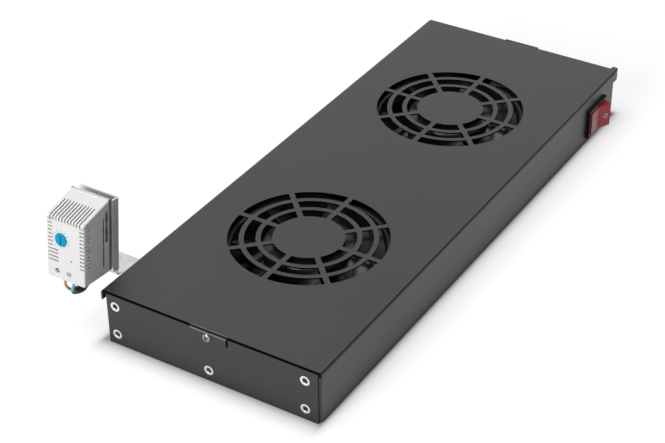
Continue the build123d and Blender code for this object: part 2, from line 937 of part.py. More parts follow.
def switch_rocker():
    """A see-saw with two faces that meet in a valley, turned to its rest pose."""
    tip_rise = rocker_half_length * math.tan(math.radians(rocker_half_angle))
    tip = (rocker_half_length, -(rocker_valley + tip_rise))
    shoulder_x = math.sqrt(rocker_swing_radius**2 - rocker_shoulder**2)
    foot_x = math.sqrt(rocker_swing_radius**2 - rocker_foot**2)
    lines = Polyline(
        (-shoulder_x, -rocker_shoulder), (-tip[0], tip[1]), (0, -rocker_valley), tip, (shoulder_x, -rocker_shoulder)
    )
    lines += ThreePointArc(
        (shoulder_x, -rocker_shoulder), (rocker_swing_radius, 0), (foot_x, rocker_foot)
    )
    lines += Line((foot_x, rocker_foot), (-foot_x, rocker_foot))
    lines += ThreePointArc(
        (-foot_x, rocker_foot), (-rocker_swing_radius, 0), (-shoulder_x, -rocker_shoulder)
    )
    half = switch_opening_height / 2 - rocker_side_clearance
    rocker = Pos(0, 0, -half) * extrude(make_face(lines), 2 * half)
    rocker += rod(rocker_pin_radius, -half - rocker_pin_length, half + rocker_pin_length)
    return Pos(switch_x, pivot_y, switch_z) * Rot(0, 0, -rocker_half_angle) * rocker


def switch_terminals():
    start = front_y + switch_depth
    tabs = []
    for x in (-switch_terminal_x, switch_terminal_x):
        for z in (-switch_terminal_z, switch_terminal_z):
            tabs.append(
                block(
                    switch_x + x - tab_thickness / 2,
                    switch_x + x + tab_thickness / 2,
                    start,
                    start + blade_terminal_length,
                    switch_z + z - blade_terminal_width / 2,
                    switch_z + z + blade_terminal_width / 2,
                )
            )
    return group(tabs)


def thermostat_envelope(inset):
    """The whole outer form, or the same form drawn in by a wall, in the thermostat's own frame."""
    front = -thermostat_depth + inset
    back = -inset
    slope = (thermostat_back_height - thermostat_front_height + thermostat_front_drop) / thermostat_depth
    top_front = thermostat_front_height - thermostat_front_drop + slope * inset - inset
    top_back = thermostat_back_height - slope * inset - inset
    face = outline(
        (front, -thermostat_front_drop + inset),
        (front, top_front),
        (back, top_back),
        (back, inset),
    )
    half = thermostat_width / 2 - inset
    return prism_y(face, -half, half)


def rounded_envelope():
    shape = thermostat_envelope(0)
    return fillet(shape.edges(), thermostat_edge)


def vent_cutters():
    """The slots over the top and round both front corners."""
    cuts = []
    front = -thermostat_depth
    low = thermostat_front_height - thermostat_front_drop - top_slot_on_face
    for number in range(top_slot_count):
        y = (number - (top_slot_count - 1) / 2) * top_slot_pitch
        cuts.append(
            block(
                front - 1,
                front + top_slot_length,
                y - top_slot_width / 2,
                y + top_slot_width / 2,
                low,
                thermostat_back_height + 1,
            )
        )
    half = thermostat_width / 2
    for number in range(side_slot_count):
        z = side_slot_first + number * side_slot_pitch
        back_reach = low_slot_on_face if number < low_slot_count else side_slot_towards_dial
        for side, reach in ((-1, side_slot_on_face), (1, back_reach)):
            edges = sorted((side * (half - reach), side * (half + 1)))
            cuts.append(
                block(
                    front - 1,
                    front + side_slot_length,
                    edges[0],
                    edges[1],
                    z - side_slot_width / 2,
                    z + side_slot_width / 2,
                )
            )
    return cuts


def clamp_places():
    return [clamp_y - clamp_spacing / 2, clamp_y + clamp_spacing / 2]


def thermostat_cover():
    """The vented front shell."""
    cover = rounded_envelope()
    around = thermostat_width
    cover -= block(-rear_shell_depth - shell_joint, around, -around, around, -around, 2 * thermostat_back_height)
    cover -= joint_grooves(-rear_shell_depth - joint_groove_width, joint_groove_low, joint_groove_high)
    cover -= thermostat_envelope(thermostat_wall)
    cover -= vent_cutters()
    front = -thermostat_depth - 1
    through = 1 + 2 * thermostat_wall
    cover -= along_x(rod(knob_radius + knob_hole_clearance, 0, through), front, knob_y, knob_z)
    for y in clamp_places():
        cover -= along_x(rod(clamp_hole_radius, 0, through), front, y, clamp_z)
    cover -= along_x(rod(mark_radius, 0, through), front, mark_y, mark_z)
    middle = clamp_from_face + clamp_depth / 2 - thermostat_depth
    cover -= block(
        middle - lead_window_length / 2,
        middle + lead_window_length / 2,
        clamp_y - lead_window_width / 2,
        clamp_y + lead_window_width / 2,
        -thermostat_front_drop - 1,
        thermostat_wall + 1,
    )
    return thermostat_place * cover


def carrier_front():
    """How far forward the moulded carrier reaches, to the back of the clamps."""
    return -thermostat_depth + clamp_from_face + clamp_depth


def joint_grooves(x, low, high):
    """A shallow groove down each side, where the shells meet or clip together."""
    half = thermostat_width / 2
    inner = half - joint_groove_depth
    return [
        block(x, x + joint_groove_width, inner, half + 1, low, high),
        block(x, x + joint_groove_width, -half - 1, -inner, low, high),
    ]


def rim_notches():
    """The row of notches along the top edge at the back."""
    pitch = (thermostat_width - 2 * thermostat_edge) / rim_notch_count
    cuts = []
    for number in range(rim_notch_count):
        y = (number - (rim_notch_count - 1) / 2) * pitch
        cuts.append(
            block(
                skirt_depth - rim_notch_depth,
                skirt_depth + 1,
                y - rim_notch_width / 2,
                y + rim_notch_width / 2,
                thermostat_back_height - thermostat_wall - 1,
                thermostat_back_height + 2 * thermostat_wall,
            )
        )
    return cuts


def rear_skirt():
    """The rim that carries the sides and the top on past the back, round the rail."""
    half = thermostat_width / 2
    top = thermostat_back_height
    skirt = block(-thermostat_edge, skirt_depth, -half, half, thermostat_edge, top)
    inner = half - thermostat_wall
    low = -1
    return skirt - block(0, skirt_depth + 1, -inner, inner, low, top - thermostat_wall)


def thermostat_base():
    """The rear shell with its skirt, carrier, posts, rail pads, latch guides and fixed hook."""
    base = rounded_envelope() + rear_skirt()
    around = thermostat_width
    front = -thermostat_depth - 1
    base -= block(front, -rear_shell_depth, -around, around, -around, 2 * thermostat_back_height)
    inner = thermostat_envelope(thermostat_wall)
    base -= inner
    base -= joint_grooves(-clip_slot_x - joint_groove_width, clip_slot_low, clip_slot_high)
    base -= rim_notches()
    span = clamp_spacing + clamp_width
    base += block(
        carrier_front(),
        -thermostat_wall,
        clamp_y - span / 2,
        clamp_y + span / 2,
        clamp_z - clamp_width / 2 + carrier_margin,
        clamp_z + clamp_width / 2 + carrier_margin,
    )
    boss_front = -thermostat_wall - knob_boss_height
    base += along_x(rod(knob_boss_radius, 0, knob_boss_height), boss_front, knob_y, knob_z)
    bore = rod(knob_stem_radius + running_clearance, -1, knob_boss_height - 1)
    base -= along_x(bore, boss_front, knob_y, knob_z)
    half_strip = bimetal_width / 2
    post_low = clamp_z + clamp_width / 2 + carrier_margin
    base += block(
        -thermostat_wall - bimetal_post,
        -thermostat_wall,
        bimetal_y - half_strip,
        bimetal_y + half_strip,
        post_low,
        post_low + bimetal_width,
    )
    half = rail_pad_width / 2
    top = rail_centre + rail_width / 2
    low = rail_centre - rail_width / 2
    hook_low = top + rail_hook_clearance
    hook_back = rail_pad + rail_sheet + rail_hook_clearance
    base += block(0, rail_pad, -half, half, top - rail_pad_height, hook_low)
    base += block(0, hook_back + rail_hook, -half, half, hook_low, hook_low + rail_hook * 2)
    base += block(hook_back, hook_back + rail_hook, -half, half, top - rail_hook_reach, hook_low)
    base += block(0, rail_pad, -half, half, low, low + rail_pad_height)
    beside = latch_width / 2 + running_clearance
    base += block(0, rail_pad, beside, beside + guide_width, guide_low, low)
    base += block(0, rail_pad, -beside - guide_width, -beside, guide_low, low)
    return thermostat_place * base


def thermostat_latch():
    """The sliding foot that grips the lower edge of the rail."""
    low = rail_centre - rail_width / 2
    half = latch_width / 2
    hook_top = low - rail_hook_clearance
    hook_back = rail_pad + rail_sheet + rail_hook_clearance
    latch = block(
        running_clearance, rail_pad - running_clearance, -half, half, -latch_tail, hook_top
    )
    latch += block(running_clearance, hook_back + rail_hook, -half, half, hook_top - 2 * rail_hook, hook_top)
    latch += block(
        hook_back, hook_back + rail_hook, -half, half, hook_top - rail_hook, low + rail_hook_reach
    )
    latch += block(running_clearance, hook_back + rail_hook, -half, half, -latch_tail, -latch_tail + rail_hook)
    return thermostat_place * latch


def thermostat_knob():
    """The dial, its slot and the stem that turns in the rear shell."""
    knob = rod(knob_radius, -knob_proud, knob_head - knob_proud)
    knob = chamfer(at_value(knob, "Z", -knob_proud), knob_slot_depth / 3)
    end = thermostat_depth - thermostat_wall - knob_slot_depth * 1.5
    knob += rod(knob_stem_radius, 0, end)
    knob -= Pos(0, 0, -knob_proud) * Box(knob_radius * 1.5, knob_slot_width, knob_slot_depth * 2)
    return thermostat_place * along_x(knob, -thermostat_depth, knob_y, knob_z)


def thermostat_terminals():
    """Two brass clamps, one behind each hole."""
    start = -thermostat_depth + clamp_from_face
    half = clamp_width / 2 - carrier_margin / 2
    clamps = [
        block(start, carrier_front(), y - half, y + half, clamp_z - half, clamp_z + half)
        for y in clamp_places()
    ]
    return thermostat_place * group(clamps)


def thermostat_screws():
    """The slotted screws of the clamps."""
    start = -thermostat_depth + clamp_from_face - clamp_screw_height
    screws = []
    for y in clamp_places():
        screw = rod(clamp_screw_radius, 0, clamp_screw_height)
        screw -= Box(clamp_screw_radius * 3, clamp_screw_radius / 3, clamp_screw_height)
        screws.append(along_x(screw, start, y, clamp_z))
    return thermostat_place * group(screws)


def thermostat_bimetal():
    """The strip that bends with heat, fixed to its post."""
    back = -thermostat_wall - bimetal_post
    low = clamp_z + clamp_width / 2 + carrier_margin
    half = bimetal_width / 2
    strip = block(
        back - bimetal_thickness, back, bimetal_y - half, bimetal_y + half, low, low + bimetal_length
    )
    rivet = along_x(rod(half / 2, -2 * bimetal_thickness, 0), back, bimetal_y, low + half)
    return thermostat_place * (strip + rivet)


def leaned(x, z):
    """Where a point of the thermostat's own frame lies along X and Z."""
    position = (thermostat_place * Pos(x, 0, z)).position
    return position.X, position.Z


def foot_ends():
    """The X where the foot meets the leaning plate, and its far edge."""
    lean = math.radians(thermostat_lean)
    middle = plate_x + bracket_sheet / 2
    foot_middle = foot_top - bracket_sheet / 2
    base_x, base_z = leaned(middle, 0)
    corner_x = base_x - (base_z - foot_middle) * math.tan(lean)
    return corner_x, corner_x + foot_length


def bracket_screw_places():
    corner_x, far_x = foot_ends()
    middle = (corner_x + far_x) / 2
    z = foot_top - bracket_screw_drop
    return [(middle - bracket_screw_spacing / 2, z), (middle + bracket_screw_spacing / 2, z)]


def thermostat_bracket():
    """Bent sheet: the leaning plate with its side flange, the foot and the wall flange."""
    corner_x, far_x = foot_ends()
    foot_middle = foot_top - bracket_sheet / 2
    plate_top = leaned(plate_x + bracket_sheet / 2, bracket_top)
    path = FilletPolyline((far_x, foot_middle), (corner_x, foot_middle), plate_top, radius=bracket_bend)
    back = bracket_front_y + bracket_width
    bracket = prism_y(trace(path, bracket_sheet), bracket_front_y, back)
    foot_low = foot_top - bracket_sheet
    foot_near = corner_x + bracket_bend + bracket_sheet
    bracket += block(foot_near, far_x, back_y, bracket_front_y, foot_low, foot_top)
    wall_flange = block(
        foot_near, far_x, back_y, back_y + bracket_sheet, foot_top - wall_flange_height, foot_top
    )
    bracket += wall_flange
    flange_front = -bracket_width / 2 - bracket_sheet
    flange = block(
        plate_x + bracket_sheet - bracket_flange_depth,
        plate_x + bracket_sheet,
        flange_front,
        flange_front + bracket_sheet,
        bracket_flange_low,
        bracket_top,
    )
    edge = [
        e
        for e in at_value(flange, "X", plate_x + bracket_sheet)
        if abs(e.center().Y - flange_front) < 0.01
    ]
    flange = fillet(edge, bracket_sheet * 0.8)
    bracket += thermostat_place * flange
    hole = m3_diameter / 2 + screw_clearance
    for x, z in bracket_screw_places():
        bracket -= along_y(rod(hole, -1, bracket_sheet + 1), x, back_y, z)
    for y in (-rivet_spacing / 2, rivet_spacing / 2):
        hole = rod(rivet_radius + press_clearance, -1, bracket_sheet + 1)
        bracket -= thermostat_place * along_x(hole, plate_x, y, rail_centre)
    return bracket


def din_rail():
    """A short piece of 35 mm hat rail, its brims towards the thermostat."""
    half = rail_width / 2
    crown = rail_crown / 2 - rail_sheet / 2
    brim_x = rail_pad + rail_sheet / 2
    crown_x = plate_x - rail_sheet / 2
    path = FilletPolyline(
        (brim_x, rail_centre - half),
        (brim_x, rail_centre - crown),
        (crown_x, rail_centre - crown),
        (crown_x, rail_centre + crown),
        (brim_x, rail_centre + crown),
        (brim_x, rail_centre + half),
        radius=rail_sheet,
    )
    rail = prism_y(trace(path, rail_sheet), -rail_length / 2, rail_length / 2)
    for y in (-rivet_spacing / 2, rivet_spacing / 2):
        hole = rod(rivet_radius + press_clearance, -2, 2 * rail_sheet)
        rail -= along_x(hole, plate_x - rail_sheet, y, rail_centre)
    return thermostat_place * rail


def rail_rivets():
    """Two rivets through the rail's crown and the plate."""
    grip = rail_sheet + bracket_sheet
    rivet = rod(rivet_radius, 0, grip) + rod(rivet_head_radius, -rivet_head_height, 0)
    rivet += rod(rivet_head_radius, grip, grip + rivet_head_height)
    start = plate_x - rail_sheet
    rivets = [along_x(rivet, start, y, rail_centre) for y in (-rivet_spacing / 2, rivet_spacing / 2)]
    return thermostat_place * group(rivets)


def bracket_screws():
    length = bracket_sheet + sheet + m3_nut_height + 1
    screw = pan_screw(m3_diameter, length)
    return group([along_y(screw, x, back_y + bracket_sheet, z) for x, z in bracket_screw_places()])


def panel_nuts():
    """The nuts inside the back wall, for the bracket and for the inlet."""
    nut = hex_nut(m3_across_flats, m3_diameter / 2 + press_clearance, m3_nut_height)
    places = bracket_screw_places()
    places += [(inlet_x - inlet_screw_spacing / 2, inlet_z), (inlet_x + inlet_screw_spacing / 2, inlet_z)]
    return group([along_y(nut, x, back_y - sheet - m3_nut_height, z) for x, z in places])


def rounded_route(points):
    """Straight runs joined by arcs as large as the two runs of a corner allow."""
    radii = []
    for before, corner, after in zip(points, points[1:], points[2:]):
        run_in = Vector(*corner) - Vector(*before)
        run_out = Vector(*after) - Vector(*corner)
        turn = math.radians(run_in.get_angle(run_out))
        shorter = min(run_in.length, run_out.length)
        radii.append(arc_share * shorter / math.tan(turn / 2))
    return FilletPolyline(*points, radius=radii)


def tube(points, radius):
    path = rounded_route(points)
    start = Plane(path @ 0, z_dir=path % 0)
    return sweep(start * Circle(radius), path=path)


def route_places(route):
    """The points of a route, measured from the housing's middle."""
    return [(near_x + x, back_y + y, z) for x, y, z in route]


def thermostat_lead():
    return tube(route_places(lead_route), lead_radius)


def core(route, number):
    """A core from under its clamp, down and round into the end of the sheath."""
    half = clamp_width / 2 - carrier_margin / 2
    clamp = Pos(carrier_front() - clamp_depth / 2, clamp_places()[number], clamp_z - half)
    start = (thermostat_place * clamp).position
    below = (thermostat_place * clamp * Pos(0, 0, -core_drop)).position
    sheath, after = [Vector(*point) for point in route_places(lead_route)[:2]]
    along = (after - sheath).normalized()
    across = along.cross(Vector(0, 0, 1)).normalized()
    end = sheath + across * (core_radius + press_clearance) * (1 - 2 * number)
    middle = route_places(route)
    return tube([tuple(start), tuple(below), *middle, tuple(end - along * core_entry), tuple(end)], core_radius)


def lead_grommet():
    """A rubber ring snapped into the back wall."""
    bore = lead_radius + running_clearance
    inner = ring(grommet_radius, bore, -grommet_flange, 0)
    outer = ring(grommet_radius, bore, sheet, sheet + grommet_flange)
    waist = ring(grommet_radius - grommet_flange - press_clearance, bore, 0, sheet)
    grommet = inner + waist + outer
    return along_y(grommet, lead_hole_x, back_y - sheet, lead_hole_z)


def inlet_body():
    """Flange outside the wall, box inside it, and the cavity for the connector."""
    middle = Rectangle(inlet_flange_width, inlet_flange_height)
    ears = Pos(-inlet_screw_spacing / 2, 0) * Circle(inlet_ear_radius)
    ears += Pos(inlet_screw_spacing / 2, 0) * Circle(inlet_ear_radius)
    flange = make_hull((middle + ears).edges())
    holes = Pos(-inlet_screw_spacing / 2, 0) * Circle(m3_diameter / 2 + screw_clearance)
    holes += Pos(inlet_screw_spacing / 2, 0) * Circle(m3_diameter / 2 + screw_clearance)
    body = extrude(flange - holes, inlet_flange_thickness)
    body += Pos(0, 0, -inlet_depth) * extrude(Rectangle(inlet_body_width, inlet_body_height), inlet_depth)
    cavity = Rectangle(inlet_cavity_width, inlet_cavity_height)
    low = [v for v in cavity.vertices() if v.Y > 0]
    cavity = chamfer(low, inlet_cavity_corner)
    body -= Pos(0, 0, inlet_flange_thickness - inlet_cavity_depth) * extrude(cavity, inlet_cavity_depth + 1)
    for x, z in inlet_pin_places():
        pin = Rectangle(inlet_pin_width, inlet_pin_height)
        body -= Pos(x, -z, -inlet_depth - 1) * extrude(pin, inlet_depth)
    return along_y(body, inlet_x, back_y, inlet_z)


def inlet_pin_places():
    half = inlet_pin_spacing / 2
    return [(-half, -inlet_pin_offset), (half, -inlet_pin_offset), (0, inlet_pin_offset)]


def inlet_pins():
    """Three flat pins that end as tabs inside the housing."""
    start = back_y - inlet_depth - inlet_tab_length
    end = back_y + inlet_flange_thickness - inlet_pin_below_rim
    pins = []
    for x, z in inlet_pin_places():
        pins.append(
            block(
                inlet_x + x - inlet_pin_width / 2,
                inlet_x + x + inlet_pin_width / 2,
                start,
                end,
                inlet_z + z - inlet_pin_height / 2,
                inlet_z + z + inlet_pin_height / 2,
            )
        )
    return group(pins)


def inlet_screws():
    length = inlet_flange_thickness + sheet + m3_nut_height + 1
    screw = pan_screw(m3_diameter, length)
    start = back_y + inlet_flange_thickness
    places = (inlet_x - inlet_screw_spacing / 2, inlet_x + inlet_screw_spacing / 2)
    return group([along_y(screw, x, start, inlet_z) for x in places])


def strip_places():
    return [strip_x + (number - (strip_poles - 1) / 2) * strip_pitch for number in range(strip_poles)]


def terminal_block():
    """A strip of poles with a raised back and a screw well over each pole."""
    length = strip_poles * strip_pitch
    half = strip_width / 2
    step = strip_height - strip_step
    face = outline(
        (strip_y - half, sheet),
        (strip_y + half, sheet),
        (strip_y + half, sheet + step),
        (strip_y + half / 2, sheet + strip_height),
        (strip_y - half / 2, sheet + strip_height),
        (strip_y - half, sheet + step),
    )
    plane = Plane((strip_x - length / 2, 0, 0), x_dir=(0, 1, 0), z_dir=(1, 0, 0))
    strip = extrude(plane * face, length)
    top = sheet + strip_height
    for x in strip_places():
        well = rod(strip_screw_radius + press_clearance, top - strip_screw_depth, top + 1)
        strip -= Pos(x, strip_y, 0) * well
    return strip


def terminal_inserts():
    """The clamping screw in each pole."""
    top = sheet + strip_height
    low = top - strip_screw_depth
    return group([Pos(x, strip_y, 0) * rod(strip_screw_radius, low, top - 1.5) for x in strip_places()])


def earth_stud():
    return Pos(earth_x, earth_y, 0) * stud(stud_height)


def earth_nut():
    return Pos(earth_x, earth_y, sheet) * hex_nut(m4_across_flats, m4_diameter / 2, m4_nut_height)


def write(name, shape):
    """One file for each named piece."""
    shape.label = name
    export_step(shape, f"parts/{name}.step")


def write_all():
    os.makedirs("parts", exist_ok=True)
    single = {
        "base_tray": base_tray,
        "near_end_plate": near_end_plate,
        "far_end_plate": far_end_plate,
        "top_cover": top_cover,
        "cover_screws": cover_screws,
        "end_screws": end_screws,
        "end_nuts": end_nuts,
        "fan_studs": fan_studs,
        "fan_nuts": fan_nuts,
        "switch_body": switch_body,
        "switch_rocker": switch_rocker,
        "switch_terminals": switch_terminals,
        "thermostat_base": thermostat_base,
        "thermostat_cover": thermostat_cover,
        "thermostat_knob": thermostat_knob,
        "thermostat_terminals": thermostat_terminals,
        "thermostat_screws": thermostat_screws,
        "thermostat_bimetal": thermostat_bimetal,
        "thermostat_latch": thermostat_latch,
        "thermostat_bracket": thermostat_bracket,
        "din_rail": din_rail,
        "rail_rivets": rail_rivets,
        "bracket_screws": bracket_screws,
        "panel_nuts": panel_nuts,
        "thermostat_lead": thermostat_lead,
        "lead_grommet": lead_grommet,
        "inlet_body": inlet_body,
        "inlet_pins": inlet_pins,
        "inlet_screws": inlet_screws,
        "terminal_block": terminal_block,
        "terminal_inserts": terminal_inserts,
        "earth_stud": earth_stud,
        "earth_nut": earth_nut,
    }
    for name, make in single.items():
        write(name, make())
    write("wire_blue", core(blue_route, 0))
    write("wire_brown", core(brown_route, 1))
    write_fan("near", -fan_spacing / 2)
    write_fan("far", fan_spacing / 2)


write_all()
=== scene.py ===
# %% [markdown]
# # A rack fan unit, dressed for a product picture
#
# The construction is already made: every sheet, fan, screw and cable arrives from the CAD model at
# its real place, in metres. This lesson gives each of them the finish of the real material, adds
# the small things that a CAD model leaves out, and sets up a plain studio.

# %% Load the frame
import math
import bmesh
import bpy
from mathutils import Matrix, Vector


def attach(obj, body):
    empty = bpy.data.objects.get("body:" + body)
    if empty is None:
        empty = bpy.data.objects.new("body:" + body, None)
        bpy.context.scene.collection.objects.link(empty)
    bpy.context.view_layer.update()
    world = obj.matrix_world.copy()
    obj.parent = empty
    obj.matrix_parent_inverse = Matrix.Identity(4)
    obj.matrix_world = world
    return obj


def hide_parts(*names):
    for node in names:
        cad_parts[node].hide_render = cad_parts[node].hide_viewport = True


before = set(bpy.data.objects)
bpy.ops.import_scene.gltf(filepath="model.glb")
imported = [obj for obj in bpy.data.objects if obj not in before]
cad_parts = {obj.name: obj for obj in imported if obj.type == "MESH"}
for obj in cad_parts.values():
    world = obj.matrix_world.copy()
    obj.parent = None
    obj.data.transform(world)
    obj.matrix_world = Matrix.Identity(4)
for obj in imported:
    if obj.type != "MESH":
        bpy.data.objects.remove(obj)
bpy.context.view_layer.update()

# %% [markdown]
# ## The camera
#
# The picture was taken from the left, a little above the unit, with a long lens. A camera is a
# place, three angles and a lens. The turn about the view axis is small but real, so it is kept.
# The Standard view transform shows each colour as it is written.

# %% Place the camera
CAMERA_PLACE = Vector((-0.99028, -0.56646, 0.76667))
CAMERA_AZIMUTH = math.radians(-58.21)
CAMERA_ELEVATION = math.radians(34.11)
CAMERA_ROLL = -0.00767
LENS_MM = 93.30
SENSOR_MM = 36.0
NEAREST_SEEN = 0.01


def camera_matrix():
    """The camera's own axes, from its heading, its tilt and its roll."""
    az, el = CAMERA_AZIMUTH, CAMERA_ELEVATION
    ahead = Vector((-math.sin(az) * math.cos(el), math.cos(az) * math.cos(el), -math.sin(el)))
    level = Vector((math.cos(az), math.sin(az), 0.0))
    upward = level.cross(ahead)
    right = math.cos(CAMERA_ROLL) * level + math.sin(CAMERA_ROLL) * upward
    up = math.cos(CAMERA_ROLL) * upward - math.sin(CAMERA_ROLL) * level
    turned = Matrix((right, up, -ahead)).transposed()
    return Matrix.Translation(CAMERA_PLACE) @ turned.to_4x4()


camera = bpy.data.objects.new("studio_camera", bpy.data.cameras.new("studio_camera"))
bpy.context.scene.collection.objects.link(camera)
camera.matrix_world = camera_matrix()
camera.data.lens = LENS_MM
camera.data.sensor_width = SENSOR_MM
camera.data.clip_start = NEAREST_SEEN
bpy.context.scene.camera = camera
bpy.context.scene.view_settings.view_transform = "Standard"
print("camera at", [round(v, 3) for v in CAMERA_PLACE], "lens", LENS_MM)

# %% [markdown]
# ## The lead
#
# A short black lead joins the thermostat to the housing. It leaves the housing through a rubber
# grommet, sags a little and turns up under the thermostat, where its two cores go to the clamps.
# A smooth NURBS line along a few points makes such a curve. Its bevel is one metre, and each
# point's own radius scales it down to the lead's, so that the curve's box is as small as the lead.

# %% Lay the lead from the grommet to the thermostat
LEAD_RADIUS = 0.003
LEAD_POINTS = [
    (-0.1780, 0.0840, 0.0175),
    (-0.1780, 0.0940, 0.0175),
    (-0.1810, 0.1020, 0.0195),
    (-0.1880, 0.1095, 0.0240),
    (-0.1965, 0.1170, 0.0280),
    (-0.2060, 0.1210, 0.0297),
    (-0.2160, 0.1206, 0.0318),
    (-0.2245, 0.1192, 0.0290),
    (-0.2310, 0.1190, 0.0268),
    (-0.2375, 0.1195, 0.0305),
]


def lay_lead():
    """One open NURBS line with a round bevel."""
    line = bpy.data.curves.new("lead_line", "CURVE")
    line.dimensions = "3D"
    spline = line.splines.new("NURBS")
    spline.points.add(len(LEAD_POINTS) - 1)
    for point, place in zip(spline.points, LEAD_POINTS):
        point.co = (*place, 1.0)
        point.radius = LEAD_RADIUS
    spline.order_u = 3
    spline.use_endpoint_u = True
    spline.resolution_u = 12
    line.bevel_depth = 1.0
    line.bevel_resolution = 8
    line.use_fill_caps = True
    laid = bpy.data.objects.new("lead_sheath", line)
    bpy.context.scene.collection.objects.link(laid)
    return laid


lead = lay_lead()
lead_length = sum(
    (Vector(b) - Vector(a)).length for a, b in zip(LEAD_POINTS, LEAD_POINTS[1:])
)
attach(lead, "housing")
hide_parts("thermostat_lead")
print("lead, along its points:", round(lead_length, 4), "m")

# %% [markdown]
# ## Helpers for materials
#
# A material here is a Principled shader with a few textures in front of it. Textures that many
# finishes share, such as a fine grain or worn edges, are node groups, so that each is built once.
# A group only gives out values and colours. The shader stays in the material.

# %% Helpers for node trees
def new_group(name, inputs, outputs):
    """An empty shader node group with named sockets, and its two ends."""
    group = bpy.data.node_groups.new(name, "ShaderNodeTree")
    for label, kind, value in inputs:
        socket = group.interface.new_socket(label, in_out="INPUT", socket_type=kind)
        socket.default_value = value
    for label, kind in outputs:
        group.interface.new_socket(label, in_out="OUTPUT", socket_type=kind)
    return group, group.nodes.new("NodeGroupInput"), group.nodes.new("NodeGroupOutput")


def node(tree, kind, settings=None, **values):
    """A node with its settings and with values on its named inputs."""
    made = tree.nodes.new(kind)
    for key, value in (settings or {}).items():
        setattr(made, key, value)
    for key, value in values.items():
        made.inputs[key.replace("_", " ")].default_value = value
    return made


def feed(tree, socket, value):
    """Gives an input a link from a socket, or a plain value."""
    if isinstance(value, bpy.types.NodeSocket):
        tree.links.new(value, socket)
    else:
        socket.default_value = value


print("node helpers ready")

# %% [markdown]
# The next helpers each add one node, feed it and give back its result, so that a longer graph reads
# like a sum. An input may be the result of another node or a plain value.

# %% Helpers that compute
def ramp(tree, source, low, high, out_low=0.0, out_high=1.0):
    """Carries a value from one range over to another, and stops at its ends."""
    made = node(tree, "ShaderNodeMapRange", From_Min=low, From_Max=high)
    tree.links.new(source, made.inputs["Value"])
    feed(tree, made.inputs["To Min"], out_low)
    feed(tree, made.inputs["To Max"], out_high)
    return made.outputs["Result"]


def mix_colour(tree, factor, first, second):
    """A mix of two colours."""
    made = node(tree, "ShaderNodeMix", {"data_type": "RGBA"})
    for index, value in ((0, factor), (6, first), (7, second)):
        feed(tree, made.inputs[index], value)
    return made.outputs[2]


def math_node(tree, operation, first, second=0.0):
    """The result of one operation on one or two values."""
    made = node(tree, "ShaderNodeMath", {"operation": operation})
    feed(tree, made.inputs[0], first)
    feed(tree, made.inputs[1], second)
    return made.outputs[0]


def object_place(tree):
    """Where on the object a point lies, in metres."""
    return tree.nodes.new("ShaderNodeTexCoord").outputs["Object"]


def split(tree, vector):
    """The X, Y and Z of a vector, by name."""
    made = tree.nodes.new("ShaderNodeSeparateXYZ")
    tree.links.new(vector, made.inputs["Vector"])
    return made.outputs


print("helpers that compute ready")

# %% [markdown]
# ### Shared effects
#
# Worn edges: the Bevel node rounds the normal near an edge, so where it differs from the true
# normal there is an edge. Noise breaks the mask up, because real wear is uneven.

# %% Group: worn edges
FLAT, SHARP = 0.995, 0.85
WEAR_STARTS, WEAR_FULL = 0.35, 0.65


def make_edge_group():
    """A mask that is 1 on worn edges and 0 elsewhere."""
    group, given, out = new_group(
        "worn edges",
        [("Radius", "NodeSocketFloat", 0.0006), ("Break Up", "NodeSocketFloat", 300.0)],
        [("Mask", "NodeSocketFloat")],
    )
    links = group.links
    rounded = node(group, "ShaderNodeBevel", {"samples": 6})
    links.new(given.outputs["Radius"], rounded.inputs["Radius"])
    true = node(group, "ShaderNodeNewGeometry")
    same = node(group, "ShaderNodeVectorMath", {"operation": "DOT_PRODUCT"})
    links.new(rounded.outputs["Normal"], same.inputs[0])
    links.new(true.outputs["Normal"], same.inputs[1])
    edge = ramp(group, same.outputs["Value"], FLAT, SHARP)
    noise = node(group, "ShaderNodeTexNoise", Detail=3.0)
    links.new(object_place(group), noise.inputs["Vector"])
    links.new(given.outputs["Break Up"], noise.inputs["Scale"])
    broken = ramp(group, noise.outputs["Fac"], WEAR_STARTS, WEAR_FULL)
    links.new(math_node(group, "MULTIPLY", edge, broken), out.inputs["Mask"])
    return group


EDGES = make_edge_group()
print("group made:", EDGES.name)

# %% [markdown]
# Uneven colour: paint, moulded plastic and metal all vary a little from place to place. Two
# noises, one broad and one fine, give a value from 0 to 1 that a material mixes its colours by.

# %% Group: uneven colour and fine grain
def make_uneven_group():
    """A broad and a fine noise, each from 0 to 1."""
    group, given, out = new_group(
        "uneven",
        [("Broad Scale", "NodeSocketFloat", 12.0), ("Fine Scale", "NodeSocketFloat", 400.0)],
        [("Broad", "NodeSocketFloat"), ("Fine", "NodeSocketFloat")],
    )
    place = object_place(group)
    for label, detail in (("Broad", 4.0), ("Fine", 2.0)):
        noise = node(group, "ShaderNodeTexNoise", Detail=detail, Roughness=0.55)
        group.links.new(place, noise.inputs["Vector"])
        group.links.new(given.outputs[label + " Scale"], noise.inputs["Scale"])
        group.links.new(ramp(group, noise.outputs["Fac"], 0.25, 0.75), out.inputs[label])
    return group


UNEVEN = make_uneven_group()
print("group made:", UNEVEN.name)

# %% [markdown]
# Brushed metal has long fine scratches one way. A noise that is squeezed across them does it.
# Galvanised sheet has crystals nearly as large as a fingernail, and a Voronoi texture gives such
# cells.

